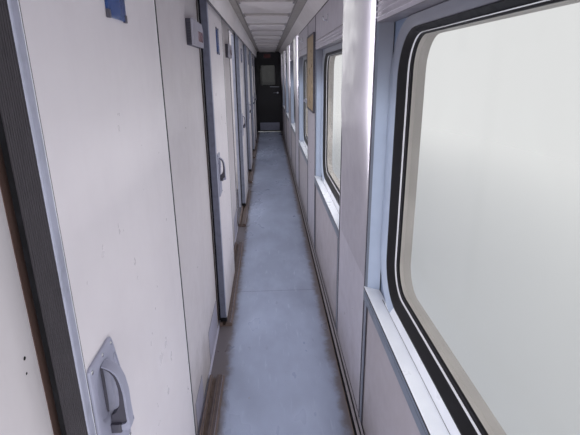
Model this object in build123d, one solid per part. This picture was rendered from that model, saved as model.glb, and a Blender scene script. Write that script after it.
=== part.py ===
"""Side corridor section of a passenger coach.

A length of sleeping-coach corridor cut across at its near end: underframe, floor,
side wall with six windows, a strip of curved roof, the compartment partition with
six sliding doors, the ceiling, and the end wall with its hinged door.

Millimetres. x runs across, towards the windows; y runs along the corridor, away
from the cut end; z is up. The origin is under the middle of the section.
"""
from build123d import *
import os
from math import cos, radians, sin, sqrt

os.makedirs("parts", exist_ok=True)

# Whole section
LENGTH = 12300
WIDTH = 1120
FLOOR_TOP = 200
CEILING = 2030
OUTER_X = WIDTH / 2
INNER_X = -OUTER_X

# Faces that bound the corridor, from the window side to the compartment side
SKIN_X = 552
WALL_X = 467
LINING_X = 435
DOOR_X = -240
PANEL_X = -295

# Windows along the wall; heights are above the floor
WINDOW_COUNT = 6
WINDOW_PITCH = 2040
FIRST_WINDOW = 925
REVEAL_W = 1350
SILL_H = 704
REVEAL_TOP_H = 1705
SEAL_W, SEAL_LOW_H, SEAL_HIGH_H, SEAL_R = 1162, 742, 1672, 150
GLASS_W, GLASS_LOW_H, GLASS_HIGH_H, GLASS_R = 1038, 795, 1650, 98
PLATE_X = 490
DROP_WINDOW = 2

# Sliding doors along the partition
DOOR_COUNT = 6
DOOR_PITCH = 1945.5
FIRST_DOOR = 555
DOOR_W = 762
DOOR_T = 36
DOOR_LOW_H, DOOR_HIGH_H = 36, 1955
DOOR_TRAVEL = 665
OPEN_DOORS = (2, 3, 4)
DOORWAY_FROM, DOORWAY_TO = 100, 710
DOORWAY_TOP_H = 1925

# Partition, track and end wall
PARTITION_T = 25
POST_W = 30
STUB_T = 30
POST_PROUD = 2
PELMET_LOW_H = 1888
END_WALL_T = 60
END_DOOR_W = 620
END_DOOR_TOP_H = 1870

ON_FLOOR = (Align.CENTER, Align.CENTER, Align.MIN)


def station(distance):
    """The y of a place given by its distance from the cut end."""
    return distance - LENGTH / 2


def up(height):
    """The z of a height above the floor."""
    return FLOOR_TOP + height


def block(x, y, z):
    """A box between two limits in each direction."""
    size = [high - low for low, high in (x, y, z)]
    middle = [(low + high) / 2 for low, high in (x, y, z)]
    return Pos(*middle) * Box(*size)


def along(outline, y_from, y_to):
    """An x-z outline carried along the corridor."""
    return Pos(0, y_from, 0) * extrude(Plane.XZ * outline, amount=y_from - y_to)


def through(outline, x_from, x_to):
    """A y-z outline carried across the section."""
    return Pos(x_from, 0, 0) * extrude(Plane.YZ * outline, amount=x_to - x_from)


def upright(outline, z_from, z_to):
    """An x-y outline carried upwards."""
    return Pos(0, 0, z_from) * extrude(outline, amount=z_to - z_from)


def shape(*points):
    """A flat outline from its corners."""
    return make_face(Polyline(*points, close=True))


def rounded(width, low, high, radius, middle=0):
    """A rounded rectangle in y-z, between two heights above the floor."""
    return Pos(middle, up((low + high) / 2)) * RectangleRounded(width, high - low, radius)


def save(name, *pieces):
    """Write a sub-part's pieces to one file."""
    solids = [solid for piece in pieces for solid in piece.solids()]
    export_step(solids[0] if len(solids) == 1 else Compound(solids), f"parts/{name}.step")


window_middles = [station(FIRST_WINDOW + WINDOW_PITCH * i) for i in range(WINDOW_COUNT)]
door_leads = [station(FIRST_DOOR + DOOR_PITCH * i) for i in range(DOOR_COUNT)]
near_end, far_end = station(0), station(LENGTH)
end_wall_y = far_end - END_WALL_T

# Underframe: two channels along the section with channel bearers between them
BEARER_H = 110
BEARER_W = 70
BEARER_WALL = 8
BEARER_COUNT = 9
BAR_W = 60
BASE_BOLT_R = 11
BASE_BOLT_SPACING = 900


def channel(web, lip):
    """A channel's outline, standing BEARER_H high, from its web's back to its lips' edge."""
    inner = web + (BEARER_WALL if lip > web else -BEARER_WALL)
    return shape((web, 0), (lip, 0), (lip, BEARER_WALL), (inner, BEARER_WALL),
                 (inner, BEARER_H - BEARER_WALL), (lip, BEARER_H - BEARER_WALL), (lip, BEARER_H), (web, BEARER_H))


bearer_step = (LENGTH - BEARER_W) / (BEARER_COUNT - 1)
bearer_webs = [near_end + bearer_step * i for i in range(BEARER_COUNT)]
save("underframe", along(channel(INNER_X, INNER_X + BAR_W), near_end, far_end),
     along(channel(SKIN_X, SKIN_X - BAR_W), near_end, far_end))

bearers = []
for y_web in bearer_webs:
    bearer = through(channel(y_web, y_web + BEARER_W), INNER_X + BAR_W, SKIN_X - BAR_W)
    if y_web in (bearer_webs[0], bearer_webs[-1]):
        for x in (-BASE_BOLT_SPACING / 2, BASE_BOLT_SPACING / 2):
            bearer -= Pos(x, y_web + (BEARER_W + BEARER_WALL) / 2, 0) * Cylinder(BASE_BOLT_R, 3 * BEARER_WALL)
    bearers.append(bearer)
save("underframe_bearers", *bearers)

# Floor: a troughed sheet, boards and the covering
TROUGH_H = 36
TROUGH_T = 3
TROUGH_COUNT = 7
TROUGH_FLANK = 20
BOARD_T = 50
COVER_T = 4


def trough_line(z_low):
    """The corners of the troughed sheet's line at one of its two faces."""
    pitch = (SKIN_X - INNER_X) / TROUGH_COUNT
    corners = []
    for i in range(TROUGH_COUNT):
        left = INNER_X + pitch * i
        corners += [(left, z_low + TROUGH_H), (left + pitch / 2 - TROUGH_FLANK, z_low + TROUGH_H),
                    (left + pitch / 2, z_low), (left + pitch - TROUGH_FLANK, z_low)]
    return corners + [(SKIN_X, z_low + TROUGH_H)]


trough_face = trough_line(BEARER_H) + trough_line(BEARER_H + TROUGH_T)[::-1]
save("floor_pan", along(shape(*trough_face), near_end, far_end))
board_z = BEARER_H + TROUGH_H + TROUGH_T
cover_z = FLOOR_TOP - COVER_T
save("floor_boards", block((INNER_X, WALL_X), (near_end, far_end), (board_z, cover_z)))
save("floor_covering", block((PANEL_X + POST_PROUD, LINING_X), (near_end, end_wall_y), (cover_z, FLOOR_TOP)))

# Side wall: waist below the windows and the band that holds them
WAIST_LOW_Z = board_z
WAIST_TOP_H = 690
EAVES_Z = 2250
waist = block((WALL_X, SKIN_X), (near_end, far_end), (WAIST_LOW_Z, up(WAIST_TOP_H)))
save("side_waist", waist)

band = block((WALL_X, SKIN_X), (near_end, far_end), (up(WAIST_TOP_H), EAVES_Z))
for y in window_middles:
    recess = block((WALL_X - 1, PLATE_X), (y - REVEAL_W / 2, y + REVEAL_W / 2), (up(WAIST_TOP_H), up(REVEAL_TOP_H + 8)))
    band -= recess
    band -= through(rounded(SEAL_W, SEAL_LOW_H, SEAL_HIGH_H, SEAL_R, y), PLATE_X - 1, SKIN_X + 1)
save("window_band", band)

# Roof: a tight arc at the eaves running into a flat one, cut off over the compartments
EAVES_R = 620
CROWN_R = 3200
EAVES_TURN = radians(70)
ROOF_T = 5
RIB_DEPTH = 45
RIB_W = 50
GUTTER_H = 30
eaves_x = SKIN_X - EAVES_R
crown_x = eaves_x - (CROWN_R - EAVES_R) * cos(EAVES_TURN)
crown_z = EAVES_Z - (CROWN_R - EAVES_R) * sin(EAVES_TURN)


def joint_x(inset):
    """The x where the roof's two arcs meet, inset from the skin."""
    return eaves_x + (EAVES_R - inset) * cos(EAVES_TURN)


def roof_arc(x_from, x_to, inset):
    """The roof's curve between two x on one of its arcs, inset from the skin."""
    on_eaves = max(x_from, x_to) > joint_x(inset) + 1
    centre_x, centre_z, radius = (eaves_x, EAVES_Z, EAVES_R) if on_eaves else (crown_x, crown_z, CROWN_R)
    points = [(x, centre_z + sqrt(max(0, (radius - inset) ** 2 - (x - centre_x) ** 2)))
              for x in (x_from, (x_from + x_to) / 2, x_to)]
    return ThreePointArc(*points)


def roof_band(outside, inside):
    """The face between two lines inset from the skin."""
    outer = [roof_arc(SKIN_X - outside, joint_x(outside), outside), roof_arc(joint_x(outside), INNER_X, outside)]
    inner = [roof_arc(INNER_X, joint_x(inside), inside), roof_arc(joint_x(inside), SKIN_X - inside, inside)]
    return make_face(Wire([*outer, Line(outer[1] @ 1, inner[0] @ 0), *inner, Line(inner[1] @ 1, outer[0] @ 0)]))


def wall_under_ribs(corners, *arcs):
    """A cross wall's face: straight through its corners, then back along the ribs' inner curve."""
    return make_face(Wire([*Polyline(arcs[-1] @ 1, *corners, arcs[0] @ 0).edges(), *arcs]))


STUB_BEFORE_DOOR = 345
stub_middles = [door_leads[0] - STUB_BEFORE_DOOR + DOOR_PITCH * i for i in range(DOOR_COUNT + 1)]
gutter = block((SKIN_X - ROOF_T + 1, OUTER_X), (near_end, far_end), (EAVES_Z, EAVES_Z + GUTTER_H))
save("roof_skin", along(roof_band(0, ROOF_T), near_end, far_end) + gutter)
rib_outline = roof_band(ROOF_T, ROOF_T + RIB_DEPTH)
rib_starts = [near_end, *[y - RIB_W / 2 for y in stub_middles], far_end - RIB_W]
save("roof_ribs", *[along(rib_outline, y, y + RIB_W) for y in rib_starts])
rib_inset = ROOF_T + RIB_DEPTH

# Windows: rubber seal, pane, rounded frame plate, splayed casing and sill
SEAL_FROM_X, SEAL_TO_X = 478, 548
GLASS_FROM_X, GLASS_TO_X = 516, 524
PLATE_T = 8
PLATE_W, PLATE_LOW_H, PLATE_R = 1290, 712, 200
CASING_T = 3
SPLAY = 30
SILL_LIP, SILL_LIP_LOW_H = 6, 646
TRANSOM_LOW_H, TRANSOM_HIGH_H, TRANSOM_DEPTH = 1190, 1238, 16


def seal_and_glass(y):
    """The rubber ring of a window and the pane it holds."""
    seal_face = rounded(SEAL_W, SEAL_LOW_H, SEAL_HIGH_H, SEAL_R, y)
    glass_face = rounded(GLASS_W, GLASS_LOW_H, GLASS_HIGH_H, GLASS_R, y)
    return through(seal_face - glass_face, SEAL_FROM_X, SEAL_TO_X), through(glass_face, GLASS_FROM_X, GLASS_TO_X)


def frame_plate(y):
    """The plate round the seal, its own corners rounded inside the square reveal."""
    ring = rounded(PLATE_W, PLATE_LOW_H, REVEAL_TOP_H - 5, PLATE_R, y)
    return through(ring - rounded(SEAL_W, SEAL_LOW_H, SEAL_HIGH_H, SEAL_R, y), PLATE_X - PLATE_T, PLATE_X)


def sill(y):
    """The sill board with its front lip, falling a little towards the corridor."""
    lip_x, back_x = LINING_X - SILL_LIP, PLATE_X - PLATE_T
    outline = shape((lip_x, up(SILL_LIP_LOW_H)), (LINING_X, up(SILL_LIP_LOW_H)), (LINING_X, up(WAIST_TOP_H)),
                    (back_x, up(WAIST_TOP_H)), (back_x, up(PLATE_LOW_H)), (lip_x, up(SILL_H)))
    return along(outline, y - REVEAL_W / 2, y + REVEAL_W / 2)


def jambs(y):
    """The two splayed sides of a reveal, thin at the corridor edge."""
    half, back_x = REVEAL_W / 2, PLATE_X - PLATE_T
    side = upright(shape((LINING_X, half - CASING_T), (LINING_X, half), (back_x, half), (back_x, half - SPLAY)),
                   up(SILL_H), up(REVEAL_TOP_H - CASING_T))
    return Pos(0, y, 0) * (side + mirror(side, Plane.XZ)) - sill(y)


def casing_head(y):
    """The board across the top of a reveal."""
    ends = (y - REVEAL_W / 2, y + REVEAL_W / 2)
    return block((LINING_X, PLATE_X - PLATE_T), ends, (up(REVEAL_TOP_H - CASING_T), up(REVEAL_TOP_H)))


seals, panes = zip(*[seal_and_glass(y) for y in window_middles])
save("window_seals", *seals)
save("window_glass", *panes)
save("window_frames", *[frame_plate(y) for y in window_middles])
save("window_sills", *[sill(y) for y in window_middles])
save("window_casings", *[jambs(y) for y in window_middles])
save("window_casing_heads", *[casing_head(y) for y in window_middles])
drop_y = window_middles[DROP_WINDOW]
save("drop_window_transom", block((GLASS_FROM_X - TRANSOM_DEPTH, GLASS_FROM_X), (drop_y - GLASS_W / 2, drop_y + GLASS_W / 2),
                                  (up(TRANSOM_LOW_H), up(TRANSOM_HIGH_H))))

# Linings of the window side
LINING_TOP_H = 1950
SILL_LINING_X = 439
STRIP_AT = 675
COVER_FROM, COVER_TO, COVER_DEPTH, COVER_FLANK = 14, 660, 32, 45
COVER_GROWTH = [(735, 0), (1100, 8), (1450, 32)]
FLAT_PILLAR = 2
STRIP_W, STRIP_PROUD = 12, 3
HEADER_RIBS_H = (1716, 1734, 1752)
HEADER_RIB = 4


def cover(y):
    """A pillar's rounded cover: a flat front between two rounded flanks, growing out of the panel."""
    low, high, front_x = y + COVER_FROM, y + COVER_TO, LINING_X - COVER_DEPTH
    near_bend, far_bend = (front_x, low + COVER_FLANK), (front_x, high - COVER_FLANK)
    shoulder_x, shoulder = LINING_X - COVER_DEPTH * 0.62, COVER_FLANK * 0.25
    section = make_face(Wire([ThreePointArc((LINING_X, low), (shoulder_x, low + shoulder), near_bend),
                              Line(near_bend, far_bend),
                              ThreePointArc(far_bend, (shoulder_x, high - shoulder), (LINING_X, high)),
                              Line((LINING_X, high), (LINING_X, low))]))
    growth = [(LINING_X - depth, up(height)) for height, depth in COVER_GROWTH]
    growth += [(front_x, up(LINING_TOP_H)), (LINING_X, up(LINING_TOP_H))]
    return upright(section, up(COVER_GROWTH[0][0]), up(LINING_TOP_H)) & along(shape(*growth), low, high)


def pillar_lining(y, covered):
    """The panel between two windows, with its cover unless the pillar is flat."""
    panel = block((LINING_X, WALL_X), (y, y + WINDOW_PITCH - REVEAL_W), (FLOOR_TOP, up(LINING_TOP_H)))
    return panel + cover(y) if covered else panel


inside = block((0, OUTER_X), (near_end, end_wall_y), (0, EAVES_Z))
pillar_edges = [window_middles[0] - WINDOW_PITCH + REVEAL_W / 2 + WINDOW_PITCH * i for i in range(WINDOW_COUNT + 1)]
save("pillar_linings", *[pillar_lining(y, i != FLAT_PILLAR) & inside for i, y in enumerate(pillar_edges)])
strips = []
for y in pillar_edges:
    for start in (y, y + STRIP_AT):
        strips.append(block((LINING_X - STRIP_PROUD, LINING_X), (start, start + STRIP_W), (FLOOR_TOP + 46, up(LINING_TOP_H))))
save("seam_strips", *[strip & inside for strip in strips if (strip & inside)])
save("sill_linings", *[block((SILL_LINING_X, WALL_X), (y - REVEAL_W / 2, y + REVEAL_W / 2), (FLOOR_TOP, up(WAIST_TOP_H)))
                       for y in window_middles])


def header_lining(y):
    """The panel over a window with three fine ribs along its foot."""
    ends = (y - REVEAL_W / 2, y + REVEAL_W / 2)
    panel = block((LINING_X, WALL_X), ends, (up(REVEAL_TOP_H), up(LINING_TOP_H)))
    for height in HEADER_RIBS_H:
        panel += block((LINING_X - HEADER_RIB, LINING_X), ends, (up(height), up(height + HEADER_RIB)))
    return panel


save("header_linings", *[header_lining(y) for y in window_middles])

HOOK_H, HOOK_AT = 1852, 630
HOOK_W, HOOK_HIGH, HOOK_T = 22, 52, 4


def coat_hook(y):
    """An eight-sided plate with a prong that turns up at its end."""
    half, high, nip = HOOK_W / 2, HOOK_HIGH / 2, 7
    plate = shape((y - half, up(HOOK_H - high + nip)), (y - half + nip, up(HOOK_H - high)),
                  (y + half - nip, up(HOOK_H - high)), (y + half, up(HOOK_H - high + nip)),
                  (y + half, up(HOOK_H + high - nip)), (y + half - nip, up(HOOK_H + high)),
                  (y - half + nip, up(HOOK_H + high)), (y - half, up(HOOK_H + high - nip)))
    face_x = LINING_X - HOOK_T
    prong = shape((LINING_X - 1, up(HOOK_H - 16)), (face_x - 16, up(HOOK_H - 16)), (face_x - 24, up(HOOK_H - 6)),
                  (face_x - 24, up(HOOK_H + 8)), (face_x - 18, up(HOOK_H + 8)), (face_x - 16, up(HOOK_H - 8)),
                  (LINING_X - 1, up(HOOK_H - 8)))
    return through(plate, face_x, LINING_X) + along(prong, y - 5, y + 5)


save("coat_hooks", *[coat_hook(y - REVEAL_W / 2 + HOOK_AT) for y in window_middles])

SKIRTING = [(375, 0), (375, 16), (403, 20), (403, 30), (LINING_X, 46), (LINING_X, 0)]
skirting_outline = shape(*[(x, up(h)) for x, h in SKIRTING])
save("skirting_rail", along(skirting_outline, near_end, end_wall_y))

# Partition: panels between posts, a header over each doorway, stubs of the cross walls
PARTITION_BACK_X = PANEL_X - PARTITION_T
doorways = [(y + DOORWAY_FROM, y + DOORWAY_TO) for y in door_leads]
panel_starts = [near_end] + [high + POST_W for low, high in doorways]
panel_ends = [low - POST_W for low, high in doorways] + [end_wall_y]
save("partition_panels", *[block((PARTITION_BACK_X, PANEL_X), ends, (FLOOR_TOP - COVER_T, up(CEILING)))
                           for ends in zip(panel_starts, panel_ends)])
posts = []
for low, high in doorways:
    for start in (low - POST_W, high):
        posts.append(block((PARTITION_BACK_X - POST_PROUD, PANEL_X + POST_PROUD), (start, start + POST_W),
                           (FLOOR_TOP - COVER_T, up(DOORWAY_TOP_H))))
save("doorway_posts", *posts)
save("doorway_headers", *[block((PARTITION_BACK_X, PANEL_X), (low - POST_W, high + POST_W), (up(DOORWAY_TOP_H), up(CEILING)))
                          for low, high in doorways])
stub_outline = wall_under_ribs([(INNER_X, cover_z), (PARTITION_BACK_X, cover_z)],
                               roof_arc(PARTITION_BACK_X, INNER_X, rib_inset))
save("cross_wall_stubs", *[along(stub_outline, y - STUB_T / 2, y + STUB_T / 2) for y in stub_middles])

# Door tracks over and guides under the sliding doors
TRACK_LOW_H, TRACK_H, TRACK_T = 1965, 40, 4
TRACK_TO_X = -226
SLOT_FROM_X, SLOT_TO_X = -267, -249
GUIDE_FROM_X, GUIDE_TO_X, GUIDE_H = -285, -208, 28
GROOVE_FROM_X, GROOVE_TO_X, GROOVE_FLOOR_H = -268, -248, 6
RUN = DOOR_W + DOOR_TRAVEL


def track(y):
    """A top-hung door's track: a box channel slotted underneath."""
    ends = (y - 20, y + RUN + 20)
    low, high = up(TRACK_LOW_H), up(TRACK_LOW_H + TRACK_H)
    body = block((PANEL_X, TRACK_TO_X), ends, (low, high))
    body -= block((PANEL_X + TRACK_T, TRACK_TO_X - TRACK_T), ends, (low + TRACK_T, high - TRACK_T))
    return body - block((SLOT_FROM_X, SLOT_TO_X), ends, (low, low + TRACK_T))


def guide(y):
    """The floor strip that a door's fins run in, as long as the door's travel."""
    ends = (y, y + RUN)
    body = block((GUIDE_FROM_X, GUIDE_TO_X), ends, (FLOOR_TOP, up(GUIDE_H)))
    return body - block((GROOVE_FROM_X, GROOVE_TO_X), ends, (up(GROOVE_FLOOR_H), up(GUIDE_H)))


save("door_tracks", *[track(y) for y in door_leads])
save("guide_rails", *[guide(y) for y in door_leads])

# Ceiling: tray, crosswise panels with recesses between them, pelmet and sloping cove
TRAY_T = 12
TRAY_FROM_X, TRAY_TO_X = PARTITION_BACK_X, 369
PELMET_TOP_X, PELMET_LOW_X, PELMET_T = -203, -220, 10
COVE_TOP_X = 357
PANEL_LOW_X, PANEL_HIGH_X, PANEL_DROP = -134, 268, 18
RECESS_PITCH, RECESS_L, FIRST_RECESS, RECESS_COUNT = 820, 180, 810, 14
tray = block((TRAY_FROM_X, TRAY_TO_X), (near_end, end_wall_y), (up(CEILING), up(CEILING) + TRAY_T))
save("ceiling_tray", tray)
recess_starts = [station(FIRST_RECESS + RECESS_PITCH * i) for i in range(RECESS_COUNT)]
ceiling_starts = [near_end] + [y + RECESS_L for y in recess_starts]
ceiling_ends = recess_starts + [end_wall_y]
save("ceiling_panels", *[block((PANEL_LOW_X, PANEL_HIGH_X), ends, (up(CEILING) - PANEL_DROP, up(CEILING)))
                         for ends in zip(ceiling_starts, ceiling_ends)])
save("track_pelmet", along(shape((PELMET_TOP_X, up(CEILING)), (PELMET_LOW_X, up(PELMET_LOW_H)),
                                 (PELMET_LOW_X - PELMET_T, up(PELMET_LOW_H)), (PELMET_TOP_X - PELMET_T, up(CEILING))),
                           near_end, end_wall_y))
save("ceiling_cove", along(shape((LINING_X, up(LINING_TOP_H)), (COVE_TOP_X, up(CEILING)), (TRAY_TO_X, up(CEILING)),
                                 (LINING_X + TRAY_T, up(LINING_TOP_H))), near_end, end_wall_y))

# Number boxes, notice board, end wall and its sign
BOX_DEPTH, BOX_FROM, BOX_TO = 31, 380, 44
BOX_LOW_H, BOX_HIGH_H, BOX_NIP = 1666, 1776, 26
DISPLAY_FROM, DISPLAY_TO, DISPLAY_LOW_H, DISPLAY_HIGH_H, DISPLAY_DEPTH = 216, 68, 1690, 1736, 3


def number_box(y):
    """A box before a door, its far upper corner nipped off, with a sunk display."""
    face_x = PANEL_X + BOX_DEPTH
    outline = shape((y - BOX_FROM, up(BOX_LOW_H)), (y - BOX_TO, up(BOX_LOW_H)), (y - BOX_TO, up(BOX_HIGH_H - BOX_NIP)),
                    (y - BOX_TO - BOX_NIP, up(BOX_HIGH_H)), (y - BOX_FROM, up(BOX_HIGH_H)))
    display = block((face_x - DISPLAY_DEPTH, face_x), (y - DISPLAY_FROM, y - DISPLAY_TO),
                    (up(DISPLAY_LOW_H), up(DISPLAY_HIGH_H)))
    return through(outline, PANEL_X, face_x) - display


save("number_boxes", *[number_box(y) for y in door_leads])
BOARD_AT, BOARD_W, BOARD_LOW_H, BOARD_HIGH_H, BOARD_DEPTH = 20, 600, 1222, 1832, 16
board_y = pillar_edges[FLAT_PILLAR] + BOARD_AT
save("notice_board", block((LINING_X - BOARD_DEPTH, LINING_X), (board_y, board_y + BOARD_W), (up(BOARD_LOW_H), up(BOARD_HIGH_H))))
END_DOORWAY_FROM_X = -247
end_doorway = (END_DOORWAY_FROM_X, END_DOORWAY_FROM_X + END_DOOR_W + 10)
end_outline = wall_under_ribs([(INNER_X, cover_z), (WALL_X, cover_z), (WALL_X, EAVES_Z)],
                              roof_arc(SKIN_X - rib_inset, joint_x(rib_inset), rib_inset),
                              roof_arc(joint_x(rib_inset), INNER_X, rib_inset))
end_wall = along(end_outline, end_wall_y, far_end)
end_wall -= block(end_doorway, (end_wall_y - 1, far_end + 1), (cover_z, up(END_DOOR_TOP_H)))
save("end_wall", end_wall)
STOP_T, STOP_W = 4, 12
end_frame = block(end_doorway, (end_wall_y, end_wall_y + STOP_T), (FLOOR_TOP, up(END_DOOR_TOP_H)))
end_frame -= block((end_doorway[0] + STOP_W, end_doorway[1] - STOP_W), (end_wall_y, end_wall_y + STOP_T),
                   (FLOOR_TOP, up(END_DOOR_TOP_H - STOP_W)))
save("end_door_frame", end_frame)
SIGN_X, SIGN_LOW_H, SIGN_HIGH_H, SIGN_T = (-32, 152), 1874, 1972, 20
save("exit_sign", block(SIGN_X, (end_wall_y - SIGN_T, end_wall_y), (up(SIGN_LOW_H), up(SIGN_HIGH_H))))

# Sliding doors: each a leaf on two hangers, with an edge profile, a pull and a plaque
EDGE_W = 22
LEAF_X = (DOOR_X - DOOR_T, DOOR_X)
HANGER_AT, HANGER_L, HANGER_T, HANGER_TOP_H = 110, 60, 6, 1990
SHOE_L, SHOE_W, SHOE_T, SHOE_NOSE, SHOE_GAP = 52, 34, 14, 8, 0.5
FIN_LOW_H = 12
PLAQUE_AT, PLAQUE_H, PLAQUE_T = (342, 457), (1652, 1800), 5
slide_x = (LEAF_X[0] + LEAF_X[1]) / 2

# The pull's plate, y from the door's edge and height; its bow, out from the plate and height
PULL_T = 4
PULL_PLATE = [(23, 850), (155, 850), (155, 1000), (128, 1100), (23, 1100)]
BOW_Y = (67, 89)
BOW = [(0, 1076), (6, 1074), (15, 1069), (24, 1059), (30, 1040), (33, 1014), (33, 984), (34, 957), (35, 949),
       (30, 944), (17, 943), (0, 942)]
BOW_HOLE = [(1, 1069), (10, 1062), (16, 1053), (19, 1042), (21, 1026), (21, 1005), (19, 992), (11, 976), (3, 972)]


def hanger(y):
    """A plate up through the track's slot, carrying a nylon shoe that slides on the track's lips."""
    plate = block((slide_x - HANGER_T / 2, slide_x + HANGER_T / 2), (y - HANGER_L / 2, y + HANGER_L / 2),
                  (up(DOOR_HIGH_H), up(HANGER_TOP_H)))
    low, half = up(TRACK_LOW_H + TRACK_T + SHOE_GAP), SHOE_L / 2
    shoe = shape((y - half + SHOE_NOSE, low), (y + half - SHOE_NOSE, low), (y + half, low + SHOE_NOSE),
                 (y + half, low + SHOE_T), (y - half, low + SHOE_T), (y - half, low + SHOE_NOSE))
    return plate + through(shoe, slide_x - SHOE_W / 2, slide_x + SHOE_W / 2)


def leaf(y):
    """The door's slab behind its edge profile, with hangers above and fins below."""
    slab = block(LEAF_X, (y + EDGE_W, y + DOOR_W), (up(DOOR_LOW_H), up(DOOR_HIGH_H)))
    for at in (HANGER_AT, DOOR_W - HANGER_AT):
        slab += hanger(y + at)
        slab += block((slide_x - HANGER_T / 2, slide_x + HANGER_T / 2), (y + at - HANGER_L / 2, y + at + HANGER_L / 2),
                      (up(FIN_LOW_H), up(DOOR_LOW_H)))
    return slab


def pull(y):
    """The cast pull: a plate with one sloping corner and a D-shaped bow standing out of it."""
    face_x = DOOR_X + PULL_T
    plate = through(shape(*[(y + at, up(height)) for at, height in PULL_PLATE]), DOOR_X, face_x)
    outline, hole = [shape(*[(face_x + out, up(height)) for out, height in points]) for points in (BOW, BOW_HOLE)]
    return plate + along(outline - hole, y + BOW_Y[0], y + BOW_Y[1])


def fittings(y):
    """Edge profile, pull and plaque."""
    edge = block(LEAF_X, (y, y + EDGE_W), (up(DOOR_LOW_H), up(DOOR_HIGH_H)))
    plaque = block((DOOR_X, DOOR_X + PLAQUE_T), [y + at for at in PLAQUE_AT], [up(height) for height in PLAQUE_H])
    return [edge, pull(y), plaque]


for i, lead in enumerate(door_leads):
    y = lead + (DOOR_TRAVEL if i in OPEN_DOORS else 0)
    save(f"door_{i + 1}_leaf", leaf(y))
    save(f"door_{i + 1}_fittings", *fittings(y))

# End door: a leaf turning on its rounded hinge stile, with a dark pane and a push rail
END_LEAF_T = 40
END_HINGE_X = END_DOORWAY_FROM_X + 26
END_LEAF_Y = (end_wall_y + 10, end_wall_y + 10 + END_LEAF_T)
END_LEAF_TO_X = END_DOORWAY_FROM_X + END_DOOR_W
END_GLASS_X, END_GLASS_H, END_GLASS_R = (-150, 270), (1200, 1700), 60
RAIL_X, RAIL_H, RAIL_STAND, RAIL_R = (115, 350), 1162, 32, 9
hinge_y = sum(END_LEAF_Y) / 2
stile = Pos(END_HINGE_X, hinge_y, up(8)) * Cylinder(END_LEAF_T / 2, END_DOOR_TOP_H - 14, align=ON_FLOOR)
end_leaf = block((END_HINGE_X, END_LEAF_TO_X), END_LEAF_Y, (up(8), up(END_DOOR_TOP_H - 6))) + stile
pane_face = Pos(sum(END_GLASS_X) / 2, up(sum(END_GLASS_H) / 2)) * RectangleRounded(
    END_GLASS_X[1] - END_GLASS_X[0], END_GLASS_H[1] - END_GLASS_H[0], END_GLASS_R)
end_leaf -= along(pane_face, *END_LEAF_Y)
save("end_door_leaf", end_leaf)
save("end_door_glass", along(pane_face, hinge_y - 4, hinge_y + 4))
rail_y = END_LEAF_Y[0] - RAIL_STAND
rail = Pos(sum(RAIL_X) / 2, rail_y, up(RAIL_H)) * Rot(0, 90, 0) * Cylinder(RAIL_R, RAIL_X[1] - RAIL_X[0])
for x in (RAIL_X[0] + 30, RAIL_X[1] - 30):
    rail += block((x - 7, x + 7), (rail_y, END_LEAF_Y[0]), (up(RAIL_H - 6), up(RAIL_H + 6)))
save("end_door_rail", rail)
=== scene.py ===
# %% [markdown]
# # The side corridor of a sleeping coach
#
# The piece is a 12.3 m length of corridor, cut across at its near end. Its structure comes
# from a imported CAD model, which is loaded here and never moved. This lesson dresses it: each
# cell says what a finish or a fitting is on the real coach, how it could be made in Blender,
# and why it is made this way. Sizes are written in millimetres and heights from the floor,
# because that is how a coach builder measures; they become metres only where a piece, a lamp
# or a pattern is made.

# %% Load the coach
import bmesh
import bpy
import numpy as np
from math import radians
from mathutils import Matrix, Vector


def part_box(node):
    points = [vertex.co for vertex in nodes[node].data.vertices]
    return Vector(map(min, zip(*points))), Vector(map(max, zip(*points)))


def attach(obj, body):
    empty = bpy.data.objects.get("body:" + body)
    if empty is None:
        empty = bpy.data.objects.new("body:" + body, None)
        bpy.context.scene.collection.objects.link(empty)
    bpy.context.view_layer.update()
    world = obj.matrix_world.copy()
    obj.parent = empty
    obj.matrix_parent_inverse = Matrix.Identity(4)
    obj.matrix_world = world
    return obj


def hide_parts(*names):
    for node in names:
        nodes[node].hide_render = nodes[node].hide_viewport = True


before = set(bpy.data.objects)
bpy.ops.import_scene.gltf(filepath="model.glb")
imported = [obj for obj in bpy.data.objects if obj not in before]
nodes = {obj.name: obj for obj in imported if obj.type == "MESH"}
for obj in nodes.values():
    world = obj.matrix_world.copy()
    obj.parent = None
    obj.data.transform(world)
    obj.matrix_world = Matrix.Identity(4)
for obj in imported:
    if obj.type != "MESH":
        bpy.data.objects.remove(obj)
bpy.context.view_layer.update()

# %% [markdown]
# ## Where things are
# The corridor is laid out on two pitches, one for the windows and one for the sliding doors.
# Typing in a place for every part would work, but a pitch and a first place say the same in
# two numbers, and a later change moves everything at once.

# %% Lengths that the corridor is laid out on
MM = 0.001
NEAR_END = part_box("floor_covering")[0].y / MM
FAR_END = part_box("end_wall")[0].y / MM
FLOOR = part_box("floor_covering")[1].z / MM
ENDS = (NEAR_END, FAR_END)
LINING_X, SKIN_X = 435, 552  # the lining's face, and the coach's skin
DOOR_X, PANEL_X = -240, -295  # the doors' faces, and the partition's
WINDOW_PITCH, FIRST_WINDOW, WINDOW_COUNT, REVEAL_W = 2040, 925, 6, 1350
DOOR_PITCH, FIRST_DOOR, DOOR_COUNT, DOOR_W = 1945.5, 555, 6, 762
DOOR_TRAVEL, OPEN_DOORS = 665, (2, 3, 4)
SIDES = (-1, 1)
windows = NEAR_END + FIRST_WINDOW + WINDOW_PITCH * np.arange(WINDOW_COUNT)
pillars = windows[0] - WINDOW_PITCH + REVEAL_W / 2 + WINDOW_PITCH * np.arange(WINDOW_COUNT + 1)
doorways = NEAR_END + FIRST_DOOR + DOOR_PITCH * np.arange(DOOR_COUNT)
leads = doorways + DOOR_TRAVEL * np.isin(np.arange(DOOR_COUNT), OPEN_DOORS)
print("window middles", windows.round(), "door leading edges", leads.round())


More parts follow.
